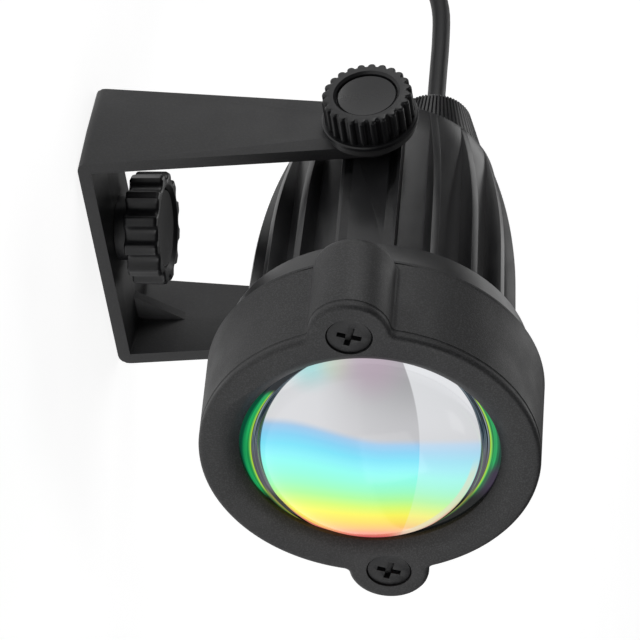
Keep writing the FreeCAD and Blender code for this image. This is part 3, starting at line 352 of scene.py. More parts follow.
def joined(pieces: Sequence[Piece]) -> Piece:
    """Joins pieces into the first one.

    Args:
        pieces: The pieces.

    Returns:
        The first piece, which holds them all.
    """
    take(pieces[0])
    for piece in pieces:
        piece.select_set(True)
    bpy.ops.object.join()
    return pieces[0]


def fan(piece: Piece, count: int, start: float = 0.0) -> Piece:
    """Copies a piece evenly round the Y axis and joins the copies.

    Args:
        piece: The first copy.
        count: How many there are in all.
        start: Turn of the first copy, in radians.

    Returns:
        The joined piece.
    """
    piece.data.transform(Matrix.Rotation(start, 4, "Y"))
    copies = [piece]
    for index in range(1, count):
        copy = piece.copy()
        copy.data = piece.data.copy()
        copy.data.transform(Matrix.Rotation(2 * math.pi * index / count, 4, "Y"))
        bpy.context.scene.collection.objects.link(copy)
        copies.append(copy)
    return joined(copies)


def smooth(piece: Piece, angle: float = 35.0) -> None:
    """Shades a piece smooth apart from edges sharper than this many degrees."""
    take(piece)
    bpy.ops.object.shade_smooth_by_angle(angle=math.radians(angle))


def hand_over(piece: Piece, finish: Finish, body: str, *nodes: str,
              place: Matrix = Matrix.Identity(4)) -> None:
    """Places a modelled piece and gives it its finish, its body and the nodes it stands for.

    Args:
        piece: The finished piece.
        finish: Its finish.
        body: The body it rides on.
        nodes: The nodes it replaces.
        place: Where it goes from its own frame.
    """
    settle(piece, place)
    piece.data.materials.clear()
    piece.data.materials.append(finish.material())
    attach(piece, body)
    if nodes:
        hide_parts(*nodes)
    LOG.info("%s: %d faces, %s", piece.name, len(piece.data.polygons), finish.name)


def dress(finish: Finish, *nodes: str) -> None:
    """Gives CAD nodes that stay a finish in their own slots.

    Args:
        finish: The finish.
        nodes: The nodes' names.
    """
    for name in nodes:
        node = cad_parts[name]
        for slot in node.material_slots:
            slot.material = finish.material()
        if not node.material_slots:
            node.data.materials.append(finish.material())
        LOG.info("%s: %s", name, finish.name)


# Finishes

def screen(red: int, green: int, blue: int) -> Colour:
    """A colour given as a screen shows it, made linear."""
    return tuple((channel / 255) ** 2.2 for channel in (red, green, blue))


def black(level: float) -> Colour:
    """A black with a trace of blue."""
    return (level, level, level + 0.001)


class Graph:
    """A material's node tree, built a node at a time."""

    def __init__(self, name: str) -> None:
        """Starts an empty tree.

        Args:
            name: The material's name.
        """
        self.made = bpy.data.materials.new(name)
        self.made.use_nodes = True
        self.tree = self.made.node_tree
        self.tree.nodes.clear()
        self.output = self.tree.nodes.new("ShaderNodeOutputMaterial")

    def add(self, kind: str, inputs: dict | None = None, **settings: object) -> bpy.types.Node:
        """Adds a node, sets it, and links or fills its inputs.

        Args:
            kind: The node's type, without its prefix.
            inputs: Sockets by name or number, each a value or another node's output.
            settings: The node's own properties.

        Returns:
            The node.
        """
        node = self.tree.nodes.new("ShaderNode" + kind)
        for name, value in settings.items():
            setattr(node, name, value)
        for name, value in (inputs or {}).items():
            if isinstance(value, bpy.types.NodeSocket):
                self.tree.links.new(value, node.inputs[name])
            else:
                node.inputs[name].default_value = value
        return node

    def math(self, operation: str, *values: object) -> Socket:
        """One sum of the Math node, its inputs in order."""
        return self.add("Math", dict(enumerate(values)), operation=operation).outputs[0]

    def less(self, one: object, other: object) -> Socket:
        """One value less another."""
        return self.math("SUBTRACT", one, other)

    def share(self, one: object, other: object) -> Socket:
        """One value as a share of another."""
        return self.math("DIVIDE", one, other)

    def times(self, first: object, *values: object) -> Socket:
        """The product of two or more values."""
        for value in values:
            first = self.math("MULTIPLY", first, value)
        return first

    def length(self, one: Socket, other: Socket) -> Socket:
        """Length of two sides put square."""
        squares = self.math("ADD", self.times(one, one), self.times(other, other))
        return self.math("SQRT", squares)

    def scaled(self, vector: object, scale: object) -> Socket:
        """A vector times a number."""
        return self.add("VectorMath", {0: vector, "Scale": scale}, operation="SCALE").outputs[0]

    def step(self, value: object, low: float, high: float, to_low: float = 0.0,
             to_high: float = 1.0) -> Socket:
        """A smooth step of a value from one level to another.

        Args:
            value: What is read.
            low: Where the step starts.
            high: Where it ends.
            to_low: Result before it.
            to_high: Result after it.

        Returns:
            The result's socket.
        """
        node = self.add("MapRange", {0: value, 1: low, 2: high, 3: to_low, 4: to_high},
                        interpolation_type="SMOOTHSTEP")
        return node.outputs[0]

    def ramp(self, value: Socket, stops: Sequence[tuple[float, int, int, int]]) -> Socket:
        """A colour ramp.

        Args:
            value: What is read.
            stops: Place, red, green and blue of each stop, as a screen shows them.

        Returns:
            The colour's socket.
        """
        node = self.add("ValToRGB", {"Fac": value})
        elements = node.color_ramp.elements
        while len(elements) < len(stops):
            elements.new(1.0)
        for element, (place, *channels) in zip(elements, stops):
            element.position = place
            element.color = (*screen(*channels), 1.0)
        return node.outputs["Color"]

    def mix(self, share: object, one: Socket | Colour, other: Socket | Colour) -> Socket:
        """Mixes two colours.

        Args:
            share: How much of the other one.
            one: The first colour.
            other: The other colour.

        Returns:
            The colour's socket.
        """
        one, other = ((*tone, 1.0) if isinstance(tone, tuple) else tone for tone in (one, other))
        node = self.add("Mix", {0: share, 6: one, 7: other}, data_type="RGBA", blend_type="MIX")
        return node.outputs[2]

    def place(self) -> Socket:
        """Object coordinates."""
        return self.add("TexCoord").outputs["Object"]

    def noise(self, scale: float, detail: float = 3.0, roughness: float = 0.5,
              vector: Socket | None = None) -> Socket:
        """Noise on object coordinates, or on others, its scale in features to a metre."""
        return self.add("TexNoise", {"Vector": vector or self.place(), "Scale": scale,
                                     "Detail": detail, "Roughness": roughness}).outputs["Fac"]

    def bump(self, height: Socket, depth: float, strength: float = 1.0) -> Socket:
        """A bump of this depth in millimetres."""
        return self.add("Bump", {"Strength": strength, "Distance": depth * MM,
                                 "Height": height}).outputs[0]

    def done(self, **inputs: object) -> Material:
        """Ends the tree with the shader.

        Args:
            inputs: The shader's sockets, their blanks written as underscores.

        Returns:
            The material.
        """
        named = {name.replace("_", " "): value for name, value in inputs.items()}
        shader = self.add("BsdfPrincipled", named)
        self.tree.links.new(shader.outputs[0], self.output.inputs["Surface"])
        return self.made


@dataclass(frozen=True)
class Finish:
    """A finish, made once and shared by every piece that takes it."""

    name: str
    slot: str
    colour: Colour

    def material(self) -> Material:
        """The finish's material, made at its first use."""
        return bpy.data.materials.get(self.name) or self.build(Graph(self.name))

    def build(self, graph: Graph) -> Material:
        """Builds the material's nodes; each kind of finish has its own."""
        raise NotImplementedError


@dataclass(frozen=True)
class MouldedPlastic(Finish):
    """Plastic from a textured mould: fine sparkle, faint mottling and rubbed gloss."""

    roughness: float = 0.5
    grain: float = 3200.0
    depth: float = 0.03
    sparkle: float = 0.25
    specular: float = 0.5
    coat: float = 0.0
    coat_roughness: float = 0.12
    broad_grain: float = 28.0
    broad_levels: Point = (0.3, 0.7)
    mottling: float = 0.07
    rubbing: float = 0.05

    def build(self, graph: Graph) -> Material:
        """Builds the plastic's nodes.

        Args:
            graph: The material's tree.

        Returns:
            The material.
        """
        fine = graph.noise(self.grain, 2.0, 0.6)
        broad = graph.noise(self.grain / self.broad_grain)
        lit = graph.step(fine, 0.42, 0.7, 1.0 - self.sparkle, 1.0 + self.sparkle)
        mottled = graph.times(lit, graph.step(broad, *self.broad_levels,
                                              1.0 - self.mottling, 1.0 + self.mottling))
        return graph.done(
            Base_Color=graph.scaled(self.colour, mottled),
            Roughness=graph.step(broad, *self.broad_levels, self.roughness - self.rubbing,
                                 self.roughness + self.rubbing),
            Specular_IOR_Level=self.specular, Coat_Weight=self.coat,
            Coat_Roughness=self.coat_roughness, Normal=graph.bump(fine, self.depth))


@dataclass(frozen=True)
class TurnedMetal(Finish):
    """Metal with fine machining lines and a little tarnish."""

    roughness: float = 0.32
    lines: float = 5200.0
    tarnish: float = 0.25
    stretch: Colour = (1.0, 0.06, 0.06)
    stains: float = 260.0
    stain_levels: Point = (0.35, 0.75)
    dulling: float = 0.14
    depth: float = 0.01

    def build(self, graph: Graph) -> Material:
        """Builds the metal's nodes.

        Args:
            graph: The material's tree.

        Returns:
            The material.
        """
        stretched = graph.add("Mapping", {"Vector": graph.place(), "Scale": self.stretch})
        lines = graph.noise(self.lines, 2.0, 0.6, stretched.outputs[0])
        stain = graph.noise(self.stains, 4.0, 0.6)
        dull = tuple(channel * (1.0 - self.tarnish) for channel in self.colour)
        return graph.done(
            Base_Color=graph.mix(graph.step(stain, *self.stain_levels), self.colour, dull),
            Metallic=1.0, Normal=graph.bump(lines, self.depth, 0.5),
            Roughness=graph.step(stain, *self.stain_levels, self.roughness,
                                 self.roughness + self.dulling))


@dataclass(frozen=True)
class ClearGlass(Finish):
    """Tinted glass with the faintest polishing haze."""

    roughness: float = 0.03
    index: float = 1.47
    haze: float = 420.0

    def build(self, graph: Graph) -> Material:
        """Builds the glass's nodes.

        Args:
            graph: The material's tree.

        Returns:
            The material.
        """
        haze = graph.noise(self.haze, 4.0)
        return graph.done(
            Base_Color=(*self.colour, 1.0), IOR=self.index, Transmission_Weight=1.0,
            Roughness=graph.step(haze, 0.3, 0.8, self.roughness, self.roughness + 0.02))


@dataclass(frozen=True)
class SheenPatch:
    """A soft round painted sheen in the lens: its middle down and right, radius, colour and
    strength.
    """

    down: float
    right: float
    radius: float
    colour: Colour
    strength: float


@dataclass(frozen=True)
class Seen:
    """Where a point is seen in the lens: how far down and right, and shares of two ways out."""

    low: Socket
    wide: Socket
    rim: Socket
    share: Socket


@dataclass(frozen=True)
class SunsetLens(Finish):
    """Coated optics with its reflections painted on: grey sky over bands from blue to red, and
    green arcs round the edge, glowing by emission.

    Its sizes are in millimetres down and right of the lens's middle. A step is given as its
    two ends and, where they aren't 0 and 1, its two results.
    """

    # Emission strength of the painted reflections, so the unlit lens glows
    reflection_glow: float = 0.86
    body: float = 0.16
    roughness: float = 0.12
    specular: float = 0.2
    middle: float = 64.2 * MM
    down: Colour = (0.7091, -0.7038, -0.0426)
    across: Colour = (0.1251, 0.0661, 0.9900)
    core: Point = (22.4, 19.8)
    core_edge: Point = (0.996, 1.004)
    opening: Point = (26.5, 19.0)
    opening_drop: float = 0.4

    # Painted reflection of a grey sky, hazier downwards, with painted sheens of colour along its
    # top
    grey_step: Point = (-22.0, 9.0)
    greys: tuple = ((0.0, 224, 225, 228), (0.3, 218, 219, 222), (0.6, 196, 196, 199),
                    (1.0, 170, 170, 173))
    haze: Colour = screen(214, 214, 217)
    haze_step: tuple = (-15.0, -3.0, 0.0, 0.55)
    sheen_patches: tuple[SheenPatch, ...] = (
        SheenPatch(-17.5, -12.5, 5.0, screen(160, 216, 216), 0.85),
        SheenPatch(-17.0, -7.0, 3.4, screen(196, 206, 180), 0.55),
        SheenPatch(-16.5, 0.0, 6.0, screen(186, 166, 182), 0.7))
    sheen_edge: Point = (0.2, 1.5)

    # Painted reflection of the coating's bands, blue at the top to red at the bottom
    horizon: float = -1.0
    lift_step: tuple = (-19.0, 3.0, 4.2, 0.0)
    sink_step: tuple = (6.0, 18.0, 0.0, 0.05)
    bottom: float = 19.3
    horizon_edge: Point = (-0.045, 0.03)
    bands: tuple = (
        (0.0, 172, 200, 228), (0.035, 156, 203, 238), (0.10, 134, 210, 245),
        (0.18, 126, 226, 249), (0.26, 140, 242, 250), (0.34, 146, 254, 240),
        (0.42, 150, 254, 222), (0.50, 158, 253, 196), (0.58, 176, 252, 158),
        (0.66, 214, 252, 118), (0.74, 250, 246, 96), (0.82, 253, 222, 96),
        (0.89, 252, 190, 112), (0.94, 238, 140, 112), (0.985, 208, 84, 92))

    # Painted reflection of a soft panel, lighter right of an arc
    panel_reflection: Colour = screen(250, 252, 255)
    panel_reflection_middle: Point = (-37.7, 0.5)
    panel_reflection_edge: Point = (47.30, 47.55)
    panel_reflection_step: tuple = (-18.0, 12.0, 0.66, 0.16)
    # Painted red reflection along the lower rim, and a painted bright crescent just inside it
    red: Colour = screen(222, 112, 106)
    red_rim: Point = (0.962, 0.99)
    red_step: tuple = (9.0, 15.0, 0.0, 0.85)
    crescent: Colour = screen(228, 226, 200)
    crescent_rim: Point = (0.925, 0.945)
    crescent_end: tuple = (0.985, 1.0, 1.0, 0.3)
    crescent_lean: float = 0.5
    crescent_low: Point = (12.5, 16.5)
    crescent_step: tuple = (3.0, 9.0, 0.0, 0.7)

    # Painted reflections round the edge: slate streaks, green arcs and a purple patch
    streak_scale: Point = (14.0, 0.06)
    streak_step: Point = (0.36, 0.64)
    slates: tuple = ((0.0, 20, 27, 32), (0.4, 54, 68, 80), (0.75, 98, 112, 120),
                     (1.0, 142, 154, 158))
    slate_haze: Colour = screen(92, 90, 98)
    slate_step: tuple = (-2.0, 3.0, 0.0, 0.8)
    greens: tuple = ((0.0, 60, 70, 50), (0.50, 40, 48, 40), (0.55, 186, 216, 60),
                     (0.60, 126, 214, 92), (0.67, 34, 158, 82), (0.78, 44, 190, 104),
                     (0.90, 20, 128, 78), (0.98, 8, 60, 50))
    green_start: Point = (0.48, 0.54)
    deep_green: Colour = screen(10, 84, 56)
    deep_start: Point = (0.55, 0.65)
    deep_step: tuple = (0.35, 0.65, 0.35, 1.0)
    purple: Colour = screen(62, 38, 70)
    purple_start: Point = (0.6, 0.8)
    purple_low: tuple = (3.0, 6.0, 0.0, 0.8)
    purple_wide: Point = (0.0, 5.0)
    # Painted shade at the top of the edge
    top_shade: Colour = screen(34, 38, 42)
    top_shade_start: Point = (0.30, 0.45)
    top_shade_step: tuple = (-11.6, -10.2, 1.0, 0.0)
    # Dark painted shade with a thin painted bright line along the bottom of the edge
    thin_start: Point = (8.0, 11.5)
    thin: tuple = ((0.0, 20, 20, 22), (0.34, 30, 32, 30), (0.46, 150, 150, 60),
                   (0.56, 70, 110, 60), (0.7, 24, 26, 26))

    def build(self, graph: Graph) -> Material:
        """Builds the coating's nodes.

        Args:
            graph: The material's tree.

        Returns:
            The material.
        """
        seen = self.seen(graph)
        colour = graph.mix(graph.step(seen.rim, *self.core_edge), self.picture(graph, seen),
                           self.edge(graph, seen))
        # Base colour and emission both carry the painted reflections; the emission makes them glow
        return graph.done(
            Base_Color=graph.mix(self.body, (0.0, 0.0, 0.0), colour), Roughness=self.roughness,
            Specular_IOR_Level=self.specular, Emission_Color=colour, Emission_Strength=self.reflection_glow)

    def seen(self, graph: Graph) -> Seen:
        """Reads where a point is seen in the lens.

        Args:
            graph: The material's tree.

        Returns:
            The place's sockets.
        """
        turn = HEAD.inverted()
        held = graph.add("Mapping", {"Vector": graph.place(), "Location": turn.translation,
                                     "Rotation": turn.to_euler()}).outputs[0]
        centred = graph.add("VectorMath", {0: held, 1: (0.0, self.middle, 0.0)},
                            operation="ADD").outputs[0]
        local = graph.scaled(centred, 1 / MM)
        low, wide = (graph.add("VectorMath", {0: local, 1: way},
                               operation="DOT_PRODUCT").outputs["Value"]
                     for way in (self.down, self.across))
        rim = graph.length(graph.share(wide, self.core[0]), graph.share(low, self.core[1]))
        lip = graph.length(graph.share(wide, self.opening[0]),
                           graph.share(graph.less(low, self.opening_drop), self.opening[1]))
        out = graph.math("MAXIMUM", graph.less(rim, 1.0), 0.0)
        left = graph.math("MAXIMUM", graph.less(1.0, lip), 0.0)
        whole = graph.math("ADD", graph.math("ADD", out, left), 0.0001)
        return Seen(low, wide, rim, graph.share(out, whole))

    def reflected_sky(self, graph: Graph, seen: Seen) -> Socket:
        """Colours of the painted sky reflection: grey, hazier downwards, with painted sheens along
        its top.

        Args:
            graph: The material's tree.
            seen: Where the point is seen.

        Returns:
            The colour's socket.
        """
        grey = graph.ramp(graph.step(seen.wide, *self.grey_step), self.greys)
        reflected_sky = graph.mix(graph.step(seen.low, *self.haze_step), grey, self.haze)
        start, end = self.sheen_edge
        for sheen_patch in self.sheen_patches:
            away = graph.length(graph.less(seen.low, sheen_patch.down), graph.less(seen.wide, sheen_patch.right))
            share = graph.step(away, start * sheen_patch.radius, end * sheen_patch.radius, sheen_patch.strength, 0.0)
            reflected_sky = graph.mix(share, reflected_sky, sheen_patch.colour)
        return reflected_sky

    def picture(self, graph: Graph, seen: Seen) -> Socket:
        """Colours of the middle, all painted reflections: sky, bands, a soft panel's reflection on
        the right and the rim's light.

        Args:
            graph: The material's tree.
            seen: Where the point is seen.

        Returns:
            The colour's socket.
        """
        edge = graph.less(self.horizon, graph.step(seen.wide, *self.lift_step))
        fall = graph.share(graph.less(seen.low, edge), graph.less(self.bottom, edge))
        sink = graph.times(graph.step(seen.wide, *self.sink_step), graph.step(fall, 0.0, 0.5))
        bands = graph.ramp(graph.less(fall, sink), self.bands)
        colour = graph.mix(graph.step(fall, *self.horizon_edge), self.reflected_sky(graph, seen), bands)
        # Painted reflection of a soft panel: lighter right of an arc, fading downwards
        right, down = self.panel_reflection_middle
        reach = graph.length(graph.less(seen.wide, right), graph.less(seen.low, down))
        panel_reflection = graph.times(graph.step(reach, *self.panel_reflection_edge),
                            graph.step(seen.low, *self.panel_reflection_step))
        colour = graph.mix(panel_reflection, colour, self.panel_reflection)
        # Painted red reflection along the lower rim
        red = graph.times(graph.step(seen.rim, *self.red_rim),
                          graph.step(seen.low, *self.red_step))
        colour = graph.mix(red, colour, self.red)
        # Painted bright crescent reflection just inside the rim, low and right
        lean = graph.math("ADD", graph.times(seen.wide, self.crescent_lean), seen.low)
        crescent = graph.times(graph.step(seen.rim, *self.crescent_rim),
                               graph.step(seen.rim, *self.crescent_end),
                               graph.step(lean, *self.crescent_low),
                               graph.step(seen.wide, *self.crescent_step))
        return graph.mix(crescent, colour, self.crescent)

    def edge(self, graph: Graph, seen: Seen) -> Socket:
        """Painted reflections between the middle and the opening: slate streaks, green arcs, with
        painted shade and a painted bright line.

        Args:
            graph: The material's tree.
            seen: Where the point is seen.

        Returns:
            The colour's socket.
        """
        low, share = seen.low, seen.share
        streaked = graph.add("CombineXYZ", {0: graph.times(share, self.streak_scale[0]),
                                            1: graph.times(low, self.streak_scale[1]),
                                            2: graph.math("SIGN", seen.wide)}).outputs[0]
        streaks = graph.noise(1.0, vector=streaked)
        slate = graph.ramp(graph.step(streaks, *self.streak_step), self.slates)
        slate = graph.mix(graph.step(low, *self.slate_step), slate, self.slate_haze)
        shade = graph.less(1.0, graph.step(streaks, *self.deep_step))
        green = graph.mix(graph.times(graph.step(share, *self.deep_start), shade),
                          graph.ramp(share, self.greens), self.deep_green)
        purple = graph.times(graph.step(share, *self.purple_start),
                             graph.step(low, *self.purple_low),
                             graph.step(seen.wide, *self.purple_wide))
        green = graph.mix(purple, green, self.purple)
        lit = graph.mix(graph.step(share, *self.green_start), slate, green)
        # Painted shade darkening the top of the edge
        top_shade = graph.times(graph.step(share, *self.top_shade_start), graph.step(low, *self.top_shade_step))
        lit = graph.mix(top_shade, lit, self.top_shade)
        # Along the bottom: dark painted shade with a thin painted bright line
        return graph.mix(graph.step(low, *self.thin_start), lit, graph.ramp(share, self.thin))


# Name, slot and colour, then roughness, grain, depth in mm, sparkle, specular and coat
BODY = MouldedPlastic("moulded black", "bezel_plastic", black(0.021),
                      0.52, 3000.0, 0.045, 0.45, 0.36)
HOUSING = MouldedPlastic("cast housing black", "housing_plastic", black(0.012),
                         0.33, 2600.0, 0.012, 0.12)
BRACKET = MouldedPlastic("bracket black", "bracket_plastic", black(0.019),
                         0.50, 2400.0, 0.02, 0.14, 0.36)
KNOB = MouldedPlastic("knob black", "knob_plastic", black(0.009),
                      0.34, 2200.0, 0.012, 0.14, 0.34)
INSET = MouldedPlastic("glossy inset", "inset_plastic", black(0.014),
                       0.14, 2200.0, 0.003, 0.06, 0.34)
SCREW = MouldedPlastic("blackened screw", "screw_steel", black(0.010),
                       0.42, 3600.0, 0.03, 0.4, 0.3)
JACKET = MouldedPlastic("cord jacket", "cord_jacket", black(0.010),
                        0.46, 1800.0, 0.008, 0.10, 0.26)
PLUG = MouldedPlastic("plug black", "plug_plastic", black(0.022), 0.38, 2400.0, 0.02, 0.15)
TONGUE = MouldedPlastic("tongue white", "tongue_plastic", (0.62, 0.62, 0.60),
                        0.40, 2200.0, 0.01, 0.05)
TIE = MouldedPlastic("tie nylon", "tie_nylon", black(0.030), 0.34, 1600.0, 0.02, 0.10)
SEAL = MouldedPlastic("seal rubber", "seal_rubber", black(0.016), 0.72, 1500.0, 0.03, 0.20)
WASHER = MouldedPlastic("washer plastic", "washer_plastic", black(0.028),
                        0.48, 2100.0, 0.02, 0.12)
HOLDER = MouldedPlastic("holder black", "holder_plastic", black(0.020),
                        0.55, 2500.0, 0.02, 0.15)
BOARD = MouldedPlastic("led board white", "board", (0.62, 0.63, 0.62),
                       0.42, 1900.0, 0.01, 0.04)
LAMINATE = MouldedPlastic("driver laminate", "driver_laminate", (0.03, 0.12, 0.05),
                          0.45, 1700.0, 0.02, 0.12)
RESIN = MouldedPlastic("emitter resin", "led_resin", (0.62, 0.50, 0.14),
                       0.20, 1900.0, 0.004, 0.05)
COMPONENT = MouldedPlastic("component sleeve", "component_dark", (0.022, 0.022, 0.026),
                           0.36, 1900.0, 0.01, 0.10)
LEAD = MouldedPlastic("lead insulation", "lead_insulation", (0.42, 0.03, 0.03),
                      0.40, 1900.0, 0.01, 0.10)

# Name, slot and colour, then roughness, machining lines and tarnish
BOLT = TurnedMetal("zinc bolt", "bolt_steel", (0.58, 0.58, 0.57))
BRASS = TurnedMetal("brass", "brass", (0.66, 0.48, 0.20), 0.30)
SPRING = TurnedMetal("spring wire", "spring_steel", (0.50, 0.50, 0.50), 0.25)
SHELL = TurnedMetal("plated shell", "plug_steel", (0.70, 0.70, 0.69), 0.22, 4200.0, 0.10)
ALLOY = TurnedMetal("cast alloy", "aluminium", (0.60, 0.60, 0.60), 0.42)

SUNSET = SunsetLens("sunset lens", "lens_glass", (0.5, 0.5, 0.5))
FILTER = ClearGlass("filter glass", "filter_glass", (0.95, 0.45, 0.18), 0.02, 1.5)


# Sub-assemblies

@dataclass
class Bracket:
    """U bracket with drafted arms, its corner webs and washers."""

    half_width: float = 29.9 * MM
    thickness: float = 3.1 * MM
    foot: float = 11.8 * MM
    tip: float = 6.6 * MM
    draft: float = math.tan(math.radians(0.8))
    outer_corner: float = 2.5 * MM
    inner_corner: float = 1.2 * MM
    web_height: float = 11.5 * MM
    web_reach: float = 7.8 * MM
    web_thickness: float = 2.0 * MM
    hole: float = 3.3 * MM
    landing: float = 9.0 * MM
    bolt_hole: float = 2.7 * MM
    edge: float = 0.35 * MM
    near: float = 0.05 * MM

    @property
    def inside(self) -> float:
        """Half the width between the arms."""
        return self.half_width - self.thickness

    def build(self) -> None:
        """Models the bracket and dresses its washers."""
        piece = self.blank()
        self.round_corners(piece)
        self.add_draft(piece)
        combine(piece, Work.ADD, *self.additions())
        combine(piece, Work.CUT, *self.holes())
        soften(piece, self.edge, segments=3, angle=28.0)
        smooth(piece)
        hand_over(piece, BRACKET, "bracket", "yoke_bracket")
        dress(WASHER, "knob_washers", "friction_washers")

    def blank(self) -> Piece:
        """Plate with both arms drawn up and narrowed.

        Returns:
            The blank.
        """
        inside, deep = self.inside, self.thickness
        piece = box("bracket_body", (-self.half_width, -self.foot, 0),
                    (self.half_width, self.foot, deep))
        with editing(piece):
            for place, way in (((-inside, 0, 0), (1, 0, 0)), ((inside, 0, 0), (1, 0, 0)),
                               ((0, 0, 0), (0, 1, 0))):
                bpy.ops.mesh.select_all(action="SELECT")
                bpy.ops.mesh.bisect(plane_co=place, plane_no=way)
        with picked(piece, lambda p: p.z > deep - self.near and abs(p.x) > inside, Pick.FACES):
            bpy.ops.mesh.extrude_region_move(
                TRANSFORM_OT_translate={"value": (0, 0, PIVOT_HEIGHT - deep)})
            bpy.ops.transform.resize(value=(1, self.tip / self.foot, 1),
                                     center_override=(0, 0, PIVOT_HEIGHT))
        return piece

    def round_corners(self, piece: Piece) -> None:
        """Rounds the outer and inner corners of the U.

        Args:
            piece: The blank.
        """
        for across, height, radius in ((self.half_width, 0.0, self.outer_corner),
                                       (self.inside, self.thickness, self.inner_corner)):
            with picked(piece, lambda p: abs(abs(p.x) - across) < self.near
                        and abs(p.z - height) < self.near, Pick.EDGES):
                bpy.ops.mesh.bevel(offset=radius, segments=6, affect="EDGES")

    def add_draft(self, piece: Piece) -> None:
        """Leans every face in towards the edges from the parting line at mid depth.

        Args:
            piece: The blank.
        """
        corner = self.inner_corner
        middle = (self.half_width + self.inside) / 2
        for vertex in piece.data.vertices:
            lean = abs(vertex.co.y) * self.draft
            side = math.copysign(1.0, vertex.co.x)
            if abs(vertex.co.x) > self.inside - corner and vertex.co.z > corner:
                vertex.co.x += side * (lean if abs(vertex.co.x) < middle else -lean)
            if vertex.co.z < self.thickness + corner:
                vertex.co.z += -lean if vertex.co.z > self.thickness / 2 else lean

    def additions(self) -> list[Piece]:
        """Rounded arm tips, corner webs and the landing under the plate.

        Returns:
            The pieces to add.
        """
        pieces = []
        for side in (-1, 1):
            lean = self.tip * self.draft / 2
            low, high = sorted((side * (self.inside + lean), side * (self.half_width - lean)))
            pieces.append(rod("arm_tip", self.tip, (low, 0, PIVOT_HEIGHT),
                              (high, 0, PIVOT_HEIGHT), sides=64))
            pieces.append(self.web(side))
        foot = rod("landing", self.landing, (0, 0, 0), (0, 0, self.thickness / 2), sides=96)
        return pieces + [foot]

    def web(self, side: int) -> Piece:
        """One three-sided corner web.

        Args:
            side: -1 or 1.

        Returns:
            The web.
        """
        deep = self.thickness / 2
        half = self.web_thickness / 2
        free = side * (self.inside - self.web_reach)
        near, far = sorted((free, side * (self.inside + deep)))
        piece = box("corner_web", (near, -half, deep),
                    (far, half, self.thickness + self.web_height))
        with picked(piece, lambda p: abs(p.x - free) < self.near and p.z > deep + self.near):
            bpy.ops.transform.translate(value=(side * (self.web_reach + deep / 2), 0, 0))
        return piece

    def holes(self) -> list[Piece]:
        """Bolt holes through the arms and the stand hole through the plate.

        Returns:
            The pieces to cut.
        """
        reach = self.half_width * 1.2
        across = rod("bolt_drill", self.bolt_hole, (-reach, 0, PIVOT_HEIGHT),
                     (reach, 0, PIVOT_HEIGHT))
        down = rod("stand_drill", self.hole, (0, 0, -self.thickness), (0, 0, self.thickness * 2))
        return [across, down]


